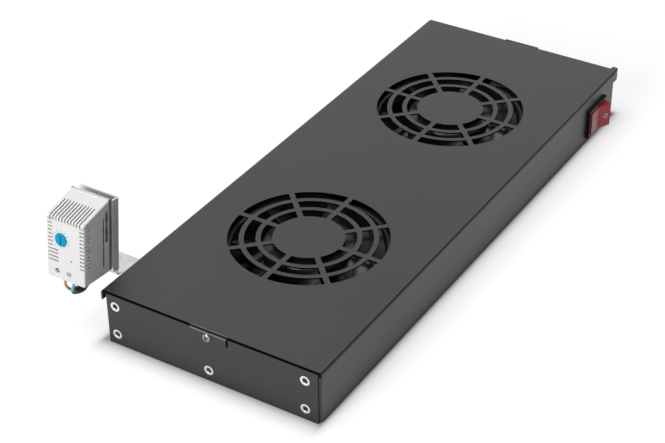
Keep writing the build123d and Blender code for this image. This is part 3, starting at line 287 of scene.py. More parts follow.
# %% Groups: scratches and zinc crystals
def make_scratch_group():
    """Noise squeezed along two axes, so that it runs along the third."""
    group, given, out = new_group(
        "scratches",
        [("Stretch", "NodeSocketVector", (20.0, 900.0, 900.0))],
        [("Value", "NodeSocketFloat")],
    )
    spread = node(group, "ShaderNodeVectorMath", {"operation": "MULTIPLY"})
    group.links.new(object_place(group), spread.inputs[0])
    group.links.new(given.outputs["Stretch"], spread.inputs[1])
    noise = node(group, "ShaderNodeTexNoise", Scale=1.0, Detail=3.0)
    group.links.new(spread.outputs["Vector"], noise.inputs["Vector"])
    group.links.new(ramp(group, noise.outputs["Fac"], 0.3, 0.7), out.inputs["Value"])
    return group


def make_crystal_group():
    """Cells that each have one grey of their own."""
    group, given, out = new_group(
        "zinc crystals", [("Scale", "NodeSocketFloat", 160.0)], [("Value", "NodeSocketFloat")]
    )
    cells = node(group, "ShaderNodeTexVoronoi", {"feature": "F1"}, Randomness=1.0)
    group.links.new(object_place(group), cells.inputs["Vector"])
    group.links.new(given.outputs["Scale"], cells.inputs["Scale"])
    grey = node(group, "ShaderNodeRGBToBW")
    group.links.new(cells.outputs["Color"], grey.inputs["Color"])
    group.links.new(grey.outputs["Val"], out.inputs["Value"])
    return group


SCRATCHES = make_scratch_group()
CRYSTALS = make_crystal_group()
print("groups made:", SCRATCHES.name, "and", CRYSTALS.name)

# %% [markdown]
# ### One recipe for painted, moulded and plated surfaces
#
# Each finish has two close colours, a roughness range, a grain height and a colour for its worn
# edges. The recipe wires the shared groups to a Principled shader with those values.

# %% The surface recipe
def place_group(tree, group, **values):
    """A shared group in a material, with values on its named inputs."""
    return node(tree, "ShaderNodeGroup", {"node_tree": group}, **values)


def surface(
    name,
    colours,
    rough,
    grain,
    grain_scale=900.0,
    broad_scale=10.0,
    edge_colour=None,
    edge_radius=0.0006,
    edge_amount=0.5,
    metallic=0.0,
    specular=0.5,
    pattern=None,
):
    """A finish from two colours, a roughness range, a grain and worn edges."""
    material = bpy.data.materials.new(name)
    material.use_nodes = True
    tree = material.node_tree
    shader = tree.nodes["Principled BSDF"]
    uneven = place_group(tree, UNEVEN, Broad_Scale=broad_scale, Fine_Scale=grain_scale)
    blend = uneven.outputs["Broad"] if pattern is None else pattern(tree)
    colour = mix_colour(tree, blend, (*colours[0], 1.0), (*colours[1], 1.0))
    edges = place_group(tree, EDGES, Radius=edge_radius)
    amount = math_node(tree, "MULTIPLY", edges.outputs["Mask"], edge_amount)
    worn = edge_colour or tuple(min(1.0, value * 1.6 + 0.01) for value in colours[1])
    colour = mix_colour(tree, amount, colour, (*worn, 1.0))
    tree.links.new(colour, shader.inputs["Base Color"])
    roughness = ramp(tree, uneven.outputs["Fine"], 0.0, 1.0, *rough)
    tree.links.new(roughness, shader.inputs["Roughness"])
    bump = node(tree, "ShaderNodeBump", Strength=1.0, Distance=grain)
    tree.links.new(uneven.outputs["Fine"], bump.inputs["Height"])
    tree.links.new(bump.outputs["Normal"], shader.inputs["Normal"])
    shader.inputs["Metallic"].default_value = metallic
    shader.inputs["Specular IOR Level"].default_value = specular
    return material


def crystals(scale):
    """A pattern of zinc crystals for the recipe."""
    return lambda tree: place_group(tree, CRYSTALS, Scale=scale).outputs["Value"]


def scratches(stretch):
    """A pattern of fine scratches for the recipe."""
    return lambda tree: place_group(tree, SCRATCHES, Stretch=stretch).outputs["Value"]


def dress(names, material):
    """Gives CAD nodes a finish."""
    for name in names:
        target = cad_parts[name]
        target.data.materials.clear()
        target.data.materials.append(material)


print("surface recipe ready")

# %% [markdown]
# Some finishes differ in a few places, and most of those places get painted shade, such as the
# cover's cut edge. A second material would need the faces picked out, and the CAD meshes stay as
# they are. So a mask from the place or the normal mixes a second value in over what already feeds
# the shader, and the rest stays as the recipe made it.

# %% Changes in a few places
def shader_of(material):
    """The material's node tree and its Principled shader."""
    tree = material.node_tree
    return tree, tree.nodes["Principled BSDF"]


def recolour(tree, shader, mask, grey):
    """Mixes a grey over the base colour where the mask is 1."""
    target = shader.inputs["Base Color"]
    colour = mix_colour(tree, mask, target.links[0].from_socket, (grey, grey, grey, 1.0))
    tree.links.new(colour, target)


def roughen(tree, shader, least):
    """Raises the roughness to at least a given value."""
    target = shader.inputs["Roughness"]
    tree.links.new(math_node(tree, "MAXIMUM", target.links[0].from_socket, least), target)


print("tools for changes in a few places ready")

# %% [markdown]
# ### The housing's powder coat
#
# The coat is black, satin and very slightly bumpy, like fine orange peel. It is never quite
# black: the white studio shows in it as a dark grey.

# %% Powder coat on the housing
def powder_coat(name, specular):
    """The housing's finish, made anew for each piece that gets a change of its own."""
    return surface(
        name,
        ((0.017, 0.017, 0.0175), (0.023, 0.023, 0.0235)),
        (0.36, 0.46),
        0.000012,
        grain_scale=1500.0,
        edge_colour=(0.07, 0.07, 0.07),
        edge_radius=0.0005,
        edge_amount=0.35,
        specular=specular,
    )


powder = powder_coat("black powder coat", 0.52)
dress(["base_tray", "far_end_plate"], powder)
print("dressed:", powder.name)

# %% [markdown]
# The dark line along the cover's edge is the shade of the gap beneath it, painted onto the cover's
# cut edges. They are found by their height and by their upright normal, and get a dark, rough
# finish that hardly reflects. As Metallic is 1 there, no plain gloss is left. The bend of the near
# tab gets the same painted shade, because it lies in the shade of the tongue.

# %% Powder coat with painted shade on the cover's cut edges
COVER_UNDER = 0.0428
TAB_BEND = -0.2403
UPRIGHT_BELOW = 0.35
CUT_SHADE_GREY = 0.004
HAIR = 0.00002


def paint_shade_on_cut_edges(material):
    """Mixes painted shade, a dull black, into the upright faces at the height of the cover's plate.
    """
    tree, shader = shader_of(material)
    spot = split(tree, object_place(tree))
    high = math_node(tree, "GREATER_THAN", spot["Z"], COVER_UNDER - HAIR)
    facing = split(tree, tree.nodes.new("ShaderNodeNewGeometry").outputs["Normal"])
    level = math_node(tree, "ABSOLUTE", facing["Z"])
    upright = math_node(tree, "LESS_THAN", level, UPRIGHT_BELOW)
    bend = math_node(tree, "LESS_THAN", spot["X"], TAB_BEND)
    cut = math_node(tree, "MULTIPLY", high, math_node(tree, "MAXIMUM", upright, bend))
    # painted shade: dull black on the cut edges and on the tab's bend
    recolour(tree, shader, cut, CUT_SHADE_GREY)
    roughen(tree, shader, cut)
    tree.links.new(cut, shader.inputs["Metallic"])


cover_powder = powder_coat("cover powder coat", 0.75)
paint_shade_on_cut_edges(cover_powder)
dress(["top_cover"], cover_powder)
print("dressed:", cover_powder.name)

# %% [markdown]
# The near end plate's upper edge lies in the shade of the cover, so it gets a dull black as painted
# shade. Only the tongue stands out from it, and the edge of the tongue is a thin strip of bare
# steel.

# %% The upper edge of the near end plate
TONGUE_TOP = 0.0425
NEAR_FACE, FAR_FACE = -0.2413, 0.2385
MARGIN = 0.0001
SHADED_GREY, BARE_GREY = 0.03, 0.3
BARE_GLOSS = 0.7


def dress_upper_edge(material):
    """Mixes painted shade, a dull black, into the level upper edge, and bare steel into the
    tongue's part of it.
    """
    tree, shader = shader_of(material)
    spot = split(tree, object_place(tree))
    high = math_node(tree, "GREATER_THAN", spot["Z"], TONGUE_TOP - MARGIN)
    outside = math_node(tree, "LESS_THAN", spot["X"], NEAR_FACE - MARGIN)
    bare = math_node(tree, "MULTIPLY", high, outside)
    # painted shade: dull black on the upper edge, which lies in the cover's shade
    recolour(tree, shader, high, SHADED_GREY)
    recolour(tree, shader, bare, BARE_GREY)
    shine = math_node(tree, "MULTIPLY", bare, BARE_GLOSS)
    roughen(tree, shader, math_node(tree, "SUBTRACT", high, shine))
    tree.links.new(high, shader.inputs["Metallic"])


plate_powder = powder_coat("end plate powder coat", 0.42)
dress_upper_edge(plate_powder)
dress(["near_end_plate"], plate_powder)
print("dressed:", plate_powder.name)

# %% [markdown]
# ### Fans
#
# The frames are cast and painted black, the blades are moulded, and the rotor cup is pressed
# steel. They sit in the dark below the grilles, so a little gloss on them matters more than colour.

# %% Finishes of the fans
cast_paint = surface(
    "fan frame paint",
    ((0.008, 0.008, 0.009), (0.014, 0.014, 0.015)),
    (0.25, 0.38),
    0.00002,
    grain_scale=1100.0,
)
moulded_black = surface(
    "moulded black",
    ((0.012, 0.012, 0.013), (0.018, 0.018, 0.019)),
    (0.22, 0.34),
    0.000006,
    grain_scale=1800.0,
)
rotor_paint = surface(
    "rotor paint",
    ((0.02, 0.02, 0.021), (0.03, 0.03, 0.031)),
    (0.25, 0.38),
    0.000008,
    grain_scale=1400.0,
)
for side in ("near", "far"):
    dress([f"{side}_fan_frame"], cast_paint)
    dress([f"{side}_fan_impeller"], moulded_black)
    dress([f"{side}_fan_rotor"], rotor_paint)
print("dressed the frames, blades and rotors of the fans")

# %% [markdown]
# The motor inside each fan is a stack of punched steel sheets, a varnished copper winding and a
# ground shaft on two bearings. Sheets and turns of wire are far too thin to model, so the scratch
# pattern is squeezed along the fan's axis until it reads as layers.

# %% Finishes of the motors
ground_steel = surface(
    "ground steel",
    ((0.5, 0.5, 0.52), (0.66, 0.66, 0.68)),
    (0.18, 0.34),
    0.000004,
    metallic=1.0,
    pattern=scratches((900.0, 900.0, 40.0)),
)
core_steel = surface(
    "core sheets",
    ((0.2, 0.2, 0.21), (0.4, 0.4, 0.42)),
    (0.35, 0.55),
    0.00001,
    metallic=1.0,
    pattern=scratches((30.0, 30.0, 2500.0)),
)
copper = surface(
    "varnished copper",
    ((0.42, 0.16, 0.06), (0.72, 0.34, 0.16)),
    (0.25, 0.4),
    0.00003,
    metallic=1.0,
    pattern=scratches((60.0, 60.0, 2800.0)),
)
brass = surface(
    "brass", ((0.62, 0.44, 0.2), (0.78, 0.6, 0.3)), (0.2, 0.35), 0.000005, metallic=1.0
)
for side in ("near", "far"):
    dress([f"{side}_fan_{piece}" for piece in ("shaft", "clip", "bearings")], ground_steel)
    dress([f"{side}_fan_stator"], core_steel)
    dress([f"{side}_fan_coil"], copper)
    dress([f"{side}_fan_terminals"], brass)
print("dressed the motors")

# %% [markdown]
# ### Screws, nuts, bracket and rail
#
# Fasteners are bright zinc. The bracket and the rail are cut from galvanised sheet, whose crystals
# show as faint patches of lighter and darker grey. The bracket gets a lighter copy of the same
# zinc, which is painted light for its foot that faces up into the lamps.

# %% Plated and galvanised steel
zinc = surface(
    "bright zinc",
    ((0.76, 0.77, 0.78), (0.88, 0.89, 0.9)),
    (0.2, 0.34),
    0.000005,
    broad_scale=260.0,
    edge_colour=(0.85, 0.85, 0.85),
    metallic=1.0,
)


def galvanised_sheet(name, colours, edge_grey):
    """Zinc crystals between two greys."""
    return surface(
        name,
        colours,
        (0.4, 0.55),
        0.000006,
        edge_colour=(edge_grey, edge_grey, edge_grey),
        metallic=1.0,
        pattern=crystals(170.0),
    )


galvanised = galvanised_sheet("galvanised sheet", ((0.5, 0.51, 0.52), (0.62, 0.63, 0.64)), 0.8)
# painted light: the bracket's copy of the zinc is lighter than the rail's
galvanised_painted_lighter = galvanised_sheet(
    "galvanised sheet painted lighter", ((0.68, 0.69, 0.7), (0.8, 0.81, 0.82)), 0.88
)
dress(["end_nuts", "fan_studs", "fan_nuts", "thermostat_screws", "bracket_screws"], zinc)
dress(["panel_nuts", "inlet_screws", "terminal_inserts"], zinc)
dress(["earth_stud", "earth_nut", "rail_rivets"], zinc)
dress(["thermostat_bracket"], galvanised_painted_lighter)
dress(["din_rail"], galvanised)
dress(["thermostat_bimetal"], ground_steel)
dress(["thermostat_terminals", "switch_terminals", "inlet_pins"], brass)
print("dressed the metal")

# %% [markdown]
# ### Plastics
#
# The thermostat is a pale grey moulding with a fine texture. The dial is blue, the rocker is a
# clear red that lets some light through, and the switch and the inlet are black.

# %% Moulded plastics
def pale_moulding(name):
    """The thermostat's finish, made anew for the shells, which get windows of their own."""
    return surface(
        name,
        ((0.72, 0.72, 0.715), (0.77, 0.77, 0.765)),
        (0.42, 0.55),
        0.00001,
        grain_scale=1600.0,
        edge_colour=(0.88, 0.88, 0.88),
        edge_amount=0.3,
    )


dial_blue = surface(
    "blue dial",
    ((0.0, 0.27, 0.46), (0.0, 0.34, 0.55)),
    (0.3, 0.4),
    0.000006,
    edge_colour=(0.05, 0.45, 0.65),
    specular=0.15,
)
gloss_black = surface(
    "switch black",
    ((0.005, 0.005, 0.006), (0.008, 0.008, 0.009)),
    (0.2, 0.32),
    0.000005,
    grain_scale=1500.0,
    specular=0.25,
)
red = surface(
    "clear red",
    ((0.5, 0.012, 0.02), (0.62, 0.02, 0.03)),
    (0.16, 0.26),
    0.000004,
    edge_colour=(0.7, 0.06, 0.07),
    specular=0.4,
)
red.node_tree.nodes["Principled BSDF"].inputs["Transmission Weight"].default_value = 0.2
dress(["thermostat_latch"], pale_moulding("pale moulding"))
dress(["thermostat_knob"], dial_blue)
dress(["switch_body", "inlet_body"], gloss_black)
dress(["switch_rocker"], red)
print("dressed the latch, the dial, the switch and the inlet")

# %% [markdown]
# The lead's sheath and the skins of its two cores are soft plastic, a little duller than a hard
# moulding. The grommet is rubber, which is duller still, and the terminal strip is left in the
# natural colour of its plastic.

# %% Soft plastics and rubber
natural = surface("strip plastic", ((0.7, 0.69, 0.63), (0.78, 0.77, 0.71)), (0.4, 0.55), 0.00001)
sheath_black = surface(
    "black sheath", ((0.018, 0.018, 0.02), (0.028, 0.028, 0.03)), (0.35, 0.5), 0.00001
)
brown_skin = surface(
    "brown core skin", ((0.62, 0.27, 0.13), (0.74, 0.36, 0.2)), (0.3, 0.42), 0.000008
)
blue_skin = surface(
    "blue core skin", ((0.1, 0.5, 0.68), (0.18, 0.62, 0.8)), (0.3, 0.42), 0.000008
)
rubber = surface("black rubber", ((0.02, 0.02, 0.02), (0.03, 0.03, 0.03)), (0.5, 0.7), 0.00002)
lead.data.materials.append(sheath_black)
dress(["wire_brown"], brown_skin)
dress(["wire_blue"], blue_skin)
dress(["lead_grommet"], rubber)
dress(["terminal_block"], natural)
print("dressed the lead, its cores, the grommet and the strip")

# %% [markdown]
# The thermostat's two shells clip together through windows in their sides. The windows are not cut:
# their shade is painted on as dark upright strips, and the rim behind them gets painted shade for
# the gap there. They follow the thermostat's own slight lean, so the pattern is laid in its frame.

# %% The thermostat's shells with painted shade for their clip windows
THERMOSTAT_PLACE = (-0.2194, 0.117, 0.04285)
THERMOSTAT_LEAN = math.radians(6.5)
# middle and half size of each window, along X and then along Z
WINDOWS = [(-0.0066, 0.0007, 0.0265, 0.0195), (-0.0030, 0.0014, 0.0385, 0.0125)]
SIDE_FROM = 0.0160
RIM_FRONT = -0.0001
RIM_SHADE = 0.93
WINDOW_SHADE_GREY = 0.06


def within(tree, value, middle, half):
    """1 where a value lies within a band."""
    off = math_node(tree, "ABSOLUTE", math_node(tree, "SUBTRACT", value, middle))
    return math_node(tree, "LESS_THAN", off, half)


def patchy_window_shade(tree, own, spot):
    """A mask of painted shade in the windows, uneven because the parts behind them are."""
    windows = 0.0
    for x, half_x, z, half_z in WINDOWS:
        across, along = within(tree, spot["X"], x, half_x), within(tree, spot["Z"], z, half_z)
        windows = math_node(tree, "MAXIMUM", windows, math_node(tree, "MULTIPLY", across, along))
    noise = node(tree, "ShaderNodeTexNoise", Scale=260.0, Detail=2.0)
    tree.links.new(own, noise.inputs["Vector"])
    amount = ramp(tree, noise.outputs["Fac"], 0.3, 0.6, 0.45, 0.95)
    return math_node(tree, "MULTIPLY", windows, amount)


def paint_window_shade(material):
    """Mixes painted shade, a dark grey, into the windows and the rim on the two sides of the
    shells.
    """
    tree, shader = shader_of(material)
    lean = node(tree, "ShaderNodeMapping", {"vector_type": "TEXTURE"}, Location=THERMOSTAT_PLACE)
    lean.inputs["Rotation"].default_value = (0.0, THERMOSTAT_LEAN, 0.0)
    tree.links.new(object_place(tree), lean.inputs["Vector"])
    own = lean.outputs["Vector"]
    spot = split(tree, own)
    side = math_node(tree, "GREATER_THAN", math_node(tree, "ABSOLUTE", spot["Y"]), SIDE_FROM)
    behind = math_node(tree, "GREATER_THAN", spot["X"], RIM_FRONT)
    rim = math_node(tree, "MULTIPLY", behind, RIM_SHADE)
    dark = math_node(tree, "MAXIMUM", patchy_window_shade(tree, own, spot), rim)
    # painted shade: dark grey in the windows and on the rim behind them
    recolour(tree, shader, math_node(tree, "MULTIPLY", dark, side), WINDOW_SHADE_GREY)


shell_pale = pale_moulding("pale shells")
paint_window_shade(shell_pale)
dress(["thermostat_cover", "thermostat_base"], shell_pale)
print("dressed:", shell_pale.name)

# %% [markdown]
# ## Screws with cross recesses
#
# The CAD screws have plain heads. Real ones have a cross recess, which catches the light even when
# the head is a few pixels across. One screw of each kind is modelled, then copied to its places.
# Modelling by operators goes in and out of edit mode, so two small tools keep the selection clear.

# %% Tools for selecting
def start_piece():
    """Leaves edit mode and lets go of everything."""
    if bpy.context.mode != "OBJECT":
        bpy.ops.object.mode_set(mode="OBJECT")
    bpy.ops.object.select_all(action="DESELECT")


def pick_faces(test):
    """In edit mode, selects the faces whose middle and normal pass a test."""
    shape = bmesh.from_edit_mesh(bpy.context.object.data)
    for face in shape.faces:
        face.select_set(False)
    for face in shape.faces:
        if test(face.calc_center_median(), face.normal):
            face.select_set(True)
    shape.select_flush_mode()
    bmesh.update_edit_mesh(bpy.context.object.data)


print("selecting tools ready")

# %% [markdown]
# A recess is cut with a Boolean, because its walls are too steep and too narrow for an inset. The
# cutter is a cube, stretched to a bar and drawn in at its lower end, as the driver's tip is. Its
# own finish, a painted shade, stays on the walls that it leaves, which makes the recess dark.

# %% Tools for cutting a recess
def cut_away(body, cutter):
    """Takes the cutter's volume out of a body, and removes the cutter."""
    start_piece()
    body.select_set(True)
    bpy.context.view_layer.objects.active = body
    cut = body.modifiers.new("cut", "BOOLEAN")
    cut.operation = "DIFFERENCE"
    cut.solver = "EXACT"
    cut.object = cutter
    bpy.ops.object.modifier_apply(modifier=cut.name)
    bpy.data.objects.remove(cutter, do_unlink=True)


def recess_bar(length, width, depth, turn, finish):
    """One tapered bar of a cross recess, reaching below Z = 0."""
    start_piece()
    bpy.ops.mesh.primitive_cube_add(size=1.0)
    bpy.ops.object.mode_set(mode="EDIT")
    bpy.ops.transform.resize(value=(length, width, 2 * depth))
    pick_faces(lambda middle, normal: normal.z < -0.9)
    bpy.ops.transform.resize(value=(0.4, 0.7, 1.0))
    bpy.ops.object.mode_set(mode="OBJECT")
    bar = bpy.context.object
    bar.data.transform(Matrix.Rotation(turn, 4, "Z"))
    bar.data.materials.append(finish)
    return bar


def cut_cross(screw, sizes, top, finish):
    """Cuts two bars at right angles into a head, down from a given height."""
    for turn in (0.0, math.pi / 2):
        bar = recess_bar(*sizes, turn, finish)
        bar.data.transform(Matrix.Translation((0.0, 0.0, top)))
        cut_away(screw, bar)


print("cutting tools ready")

# %% [markdown]
# The cover's screws have a darker plating than the others. The recesses get dark colours, which
# paint in the shade that fills them.

# %% Finishes of the screws' heads
dark_zinc = surface(
    "dark plating",
    ((0.2, 0.2, 0.21), (0.27, 0.27, 0.28)),
    (0.1, 0.18),
    0.000003,
    broad_scale=260.0,
    edge_colour=(0.6, 0.6, 0.6),
    metallic=1.0,
)
# painted shade: both recess finishes are dark colours for the shade inside the recesses
recess_shade_grey = surface(
    "recess shade grey",
    ((0.1, 0.1, 0.1), (0.16, 0.16, 0.16)),
    (0.3, 0.45),
    0.000003,
    edge_colour=(0.3, 0.3, 0.3),
    metallic=1.0,
)
recess_shade_black = surface(
    "recess shade black",
    ((0.008, 0.008, 0.008), (0.016, 0.016, 0.016)),
    (0.4, 0.6),
    0.000003,
    edge_colour=(0.05, 0.05, 0.05),
)
print("finishes:", dark_zinc.name, recess_shade_grey.name, recess_shade_black.name)

# %% [markdown]
# The flat head starts as a cylinder whose lower face is drawn in to a cone and extruded to the
# shank. Its face has a bright rim round a sunk middle in painted shade, made by two insets.

# %% Model a flat screw
FLAT_RADIUS, FLAT_HEIGHT = 0.0039, 0.0011
CONE_TO_SHANK = 0.51
FLAT_SHANK = 0.0078
RIM_WIDTH = 0.0012
MIDDLE_SUNK = 0.0002
FLAT_RECESS = (0.0046, 0.0013, 0.0012)


def settle(screw):
    """Moves a piece's place into its mesh, so that its own origin is the world's."""
    screw.data.transform(screw.matrix_world)
    screw.matrix_world = Matrix.Identity(4)


def flat_screw():
    """A flat head with its face at Z = 0 and its shank below."""
    start_piece()
    bpy.ops.mesh.primitive_cylinder_add(
        vertices=48, radius=FLAT_RADIUS, depth=FLAT_HEIGHT, location=(0, 0, -FLAT_HEIGHT / 2)
    )
    bpy.ops.object.mode_set(mode="EDIT")
    pick_faces(lambda middle, normal: normal.z < -0.9)
    bpy.ops.transform.resize(value=(CONE_TO_SHANK, CONE_TO_SHANK, 1.0))
    bpy.ops.mesh.extrude_region_move(TRANSFORM_OT_translate={"value": (0, 0, -FLAT_SHANK)})
    pick_faces(lambda middle, normal: normal.z > 0.9)
    bpy.ops.mesh.bevel(offset=0.0002, segments=3, affect="EDGES")
    pick_faces(lambda middle, normal: normal.z > 0.999)
    bpy.ops.mesh.inset(thickness=RIM_WIDTH)
    bpy.ops.mesh.inset(thickness=MIDDLE_SUNK, depth=-MIDDLE_SUNK)
    screw = bpy.context.object
    for finish in (zinc, recess_shade_grey):
        screw.data.materials.append(finish)
    screw.active_material_index = 1
    bpy.ops.object.material_slot_assign()
    bpy.ops.object.mode_set(mode="OBJECT")
    settle(screw)
    cut_cross(screw, FLAT_RECESS, -MIDDLE_SUNK, recess_shade_grey)
    return screw


flat_pattern = flat_screw()
print("flat screw:", len(flat_pattern.data.polygons), "faces")

# %% [markdown]
# The rounded head is a cylinder with its upper edge bevelled in eight steps, which makes a dome
# with a small flat on top. The two screws differ only in how long their shanks are.

# %% A rounded screw
ROUND_RADIUS, ROUND_HEIGHT = 0.0036, 0.0019
ROUND_EDGE = 0.0016
SHANK_INSET = 0.0021
ROUND_RECESS = (0.0042, 0.0011, 0.0014)


def round_screw(shank):
    """A rounded head that stands on Z = 0, with its shank below."""
    start_piece()
    bpy.ops.mesh.primitive_cylinder_add(
        vertices=48, radius=ROUND_RADIUS, depth=ROUND_HEIGHT, location=(0, 0, ROUND_HEIGHT / 2)
    )
    bpy.ops.object.mode_set(mode="EDIT")
    pick_faces(lambda middle, normal: normal.z < -0.9)
    bpy.ops.mesh.inset(thickness=SHANK_INSET)
    bpy.ops.mesh.extrude_region_move(TRANSFORM_OT_translate={"value": (0, 0, -shank)})
    pick_faces(lambda middle, normal: normal.z > 0.9)
    bpy.ops.mesh.bevel(offset=ROUND_EDGE, segments=8, affect="EDGES")
    bpy.ops.object.mode_set(mode="OBJECT")
    screw = bpy.context.object
    settle(screw)
    screw.data.materials.append(dark_zinc)
    cut_cross(screw, ROUND_RECESS, ROUND_HEIGHT, recess_shade_black)
    return screw


print("rounded head:", ROUND_RADIUS * 2000, "mm across")

# %% [markdown]
# One pattern serves for many places. Each copy's mesh is moved to its place, then all are joined,
# so that the finished piece has its origin at the world's, neither turned nor scaled.

# %% A set of copies from one pattern
SMOOTH_BELOW = 35


def set_of_copies(name, pattern, places):
    """Copies of a piece at several places, joined at the origin. The pattern is used up."""
    start_piece()
    for place in places:
        copy = bpy.data.objects.new(name, pattern.data.copy())
        copy.data.transform(place)
        bpy.context.scene.collection.objects.link(copy)
        copy.select_set(True)
        bpy.context.view_layer.objects.active = copy
    if len(places) > 1:
        bpy.ops.object.join()
    joined = bpy.context.object
    joined.name = name
    bpy.ops.object.shade_smooth_by_angle(angle=math.radians(SMOOTH_BELOW))
    bpy.data.objects.remove(pattern, do_unlink=True)
    return joined


print("edges under", SMOOTH_BELOW, "degrees are shaded smooth")

# %% [markdown]
# Each end has five flat screws. Their recesses are turned by chance in a real unit, so each copy
# gets its own turn. The faces of the heads lie flush with the end plates.

# %% Set the screws in their places
TURN_TO_NEAR = Matrix.Rotation(math.radians(-90), 4, "Y")
TURN_TO_FAR = Matrix.Rotation(math.radians(90), 4, "Y")
SCREW_SPOTS = [
    (-0.0795, 0.009, 20),
    (-0.0795, 0.0333, 65),
    (0.0795, 0.009, 40),
    (0.0795, 0.0333, 5),
    (0.0, 0.009, 50),
]  # Y, Z and the turn of the recess in degrees


def end_places():
    """Where the ten flat screws go, near end first."""
    places = []
    for y, z, turn in SCREW_SPOTS:
        spin = Matrix.Rotation(math.radians(turn), 4, "Z")
        places.append(Matrix.Translation((NEAR_FACE, y, z)) @ TURN_TO_NEAR @ spin)
        places.append(Matrix.Translation((FAR_FACE, y, z)) @ TURN_TO_FAR @ spin)
    return places


end_screw_set = set_of_copies("end_screw_set", flat_pattern, end_places())
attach(end_screw_set, "housing")
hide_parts("end_screws")
print("end screws:", len(end_screw_set.data.polygons), "faces")

# %% [markdown]
# The two screws that hold the cover have rounded heads and a darker, smoother plating, in which
# the lamps show as small bright spots.

# %% Set the cover's two screws
def cover_screw(name, place, facing, turn, shank):
    """A rounded screw at its place, its recess turned by an angle."""
    where = Matrix.Translation(place) @ facing @ Matrix.Rotation(turn, 4, "Z")
    return set_of_copies(name, round_screw(shank), [where])


near_cover_screw = cover_screw(
    "near_cover_screw", (-0.2425, -0.001, 0.0392), TURN_TO_NEAR, turn=0.5, shank=0.0048
)
far_cover_screw = cover_screw(
    "far_cover_screw", (0.2423, -0.001, 0.0392), TURN_TO_FAR, turn=1.0, shank=0.0074
)
for screw in (near_cover_screw, far_cover_screw):
    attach(screw, "housing")
    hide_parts("cover_screws")
print("cover screws:", [len(s.data.polygons) for s in (near_cover_screw, far_cover_screw)])

# %% [markdown]
# ## Printed marks
#
# A ring of short ticks is printed round the dial, and the rocker carries a ring and a dash for off
# and on. Print stands a few hundredths of a millimetre proud, so thin bevelled bars make it.

# %% Ticks round the thermostat's dial
THERMOSTAT = Matrix.Translation(THERMOSTAT_PLACE) @ Matrix.Rotation(THERMOSTAT_LEAN, 4, "Y")
DIAL_MIDDLE = Vector((-0.0283, 0.0038, 0.032))
TICK_RING = 0.0070
TICK_SIZE = (0.00008, 0.0007, 0.0013)
TICKS = 11
TRAVEL = 270.0


def refinish(piece, finish):
    """Leaves a piece with one finish only."""
    piece.data.materials.clear()
    piece.data.materials.append(finish)


def bar_piece(size):
    """A thin bar about the origin, its edges slightly rounded."""
    start_piece()
    bpy.ops.mesh.primitive_cube_add(size=1.0)
    bpy.ops.object.mode_set(mode="EDIT")
    bpy.ops.transform.resize(value=size)
    bpy.ops.mesh.select_all(action="SELECT")
    bpy.ops.mesh.bevel(offset=min(size) * 0.3, segments=2, affect="EDGES")
    bpy.ops.object.mode_set(mode="OBJECT")
    return bpy.context.object


def tick_places():
    """Even turns about the dial's axis, from one end of its travel to the other."""
    places = []
    for number in range(TICKS):
        turn = math.radians(TRAVEL * (number / (TICKS - 1) - 0.5))
        ring = Matrix.Rotation(turn, 4, "X") @ Matrix.Translation((0.0, 0.0, TICK_RING))
        places.append(THERMOSTAT @ Matrix.Translation(DIAL_MIDDLE) @ ring)
    return places


print_blue = surface(
    "pale blue print",
    ((0.04, 0.42, 0.7), (0.08, 0.5, 0.78)),
    (0.35, 0.45),
    0.000003,
    edge_colour=(0.2, 0.6, 0.85),
)
dial_ticks = set_of_copies("dial_ticks", bar_piece(TICK_SIZE), tick_places())
refinish(dial_ticks, print_blue)
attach(dial_ticks, "housing")
print("ticks:", len(tick_places()))

# %% [markdown]
# The two faces of the rocker slope to a valley at its middle. The ring lies on the far face and
# the dash on the near one, and both move with the rocker.

# %% Marks on the rocker
FACE_SLOPE = math.radians(13.5)
ROCKER_AXIS = (0.2002, -0.08945, 0.0179)
ROCKER = Matrix.Translation(ROCKER_AXIS) @ Matrix.Rotation(-FACE_SLOPE, 4, "Z")
VALLEY_FROM_AXIS = 0.0062
RING_RADIUS, RING_LINE = 0.0019, 0.0003
DASH_SIZE = (0.0034, 0.0005, 0.00012)
RING_ALONG, DASH_ALONG = 0.0078, -0.0065


def on_rocker(along):
    """A frame on the rocker's face, its Z pointing out of the face and its X along the rocker."""
    side = 1.0 if along > 0 else -1.0
    slope = math.tan(FACE_SLOPE) * abs(along)
    x_axis = Vector((math.cos(FACE_SLOPE), -side * math.sin(FACE_SLOPE), 0.0))
    z_axis = Vector((-side * math.sin(FACE_SLOPE), -math.cos(FACE_SLOPE), 0.0))
    y_axis = z_axis.cross(x_axis)
    turned = Matrix((x_axis, y_axis, z_axis)).transposed().to_4x4()
    return ROCKER @ Matrix.Translation((along, -(VALLEY_FROM_AXIS + slope), 0.0)) @ turned


def ring_piece():
    """A flattened ring about the origin."""
    start_piece()
    bpy.ops.mesh.primitive_torus_add(
        major_radius=RING_RADIUS, minor_radius=RING_LINE, major_segments=40, minor_segments=10
    )
    bpy.ops.object.mode_set(mode="EDIT")
    bpy.ops.transform.resize(value=(1.0, 1.0, 0.2))
    bpy.ops.object.mode_set(mode="OBJECT")
    return bpy.context.object


print_white = surface(
    "white print",
    ((0.8, 0.62, 0.56), (0.86, 0.7, 0.64)),
    (0.4, 0.5),
    0.000003,
    edge_colour=(0.9, 0.8, 0.75),
)
ring_mark = set_of_copies("off_ring", ring_piece(), [on_rocker(RING_ALONG)])
dash_mark = set_of_copies("on_dash", bar_piece(DASH_SIZE), [on_rocker(DASH_ALONG)])
for mark in (ring_mark, dash_mark):
    refinish(mark, print_white)
    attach(mark, "rocker")
print("marks on the rocker:", ring_mark.name, dash_mark.name)

# %% [markdown]
# ## The studio
#
# The unit lies on a white floor. Enough light to turn paper white would wash the unit out, so the
# floor gives off some white of its own, which only the camera and the mirrors see. That lift fades
# out beside the housing, which paints a soft shadow along its foot, as under a broad soft light.

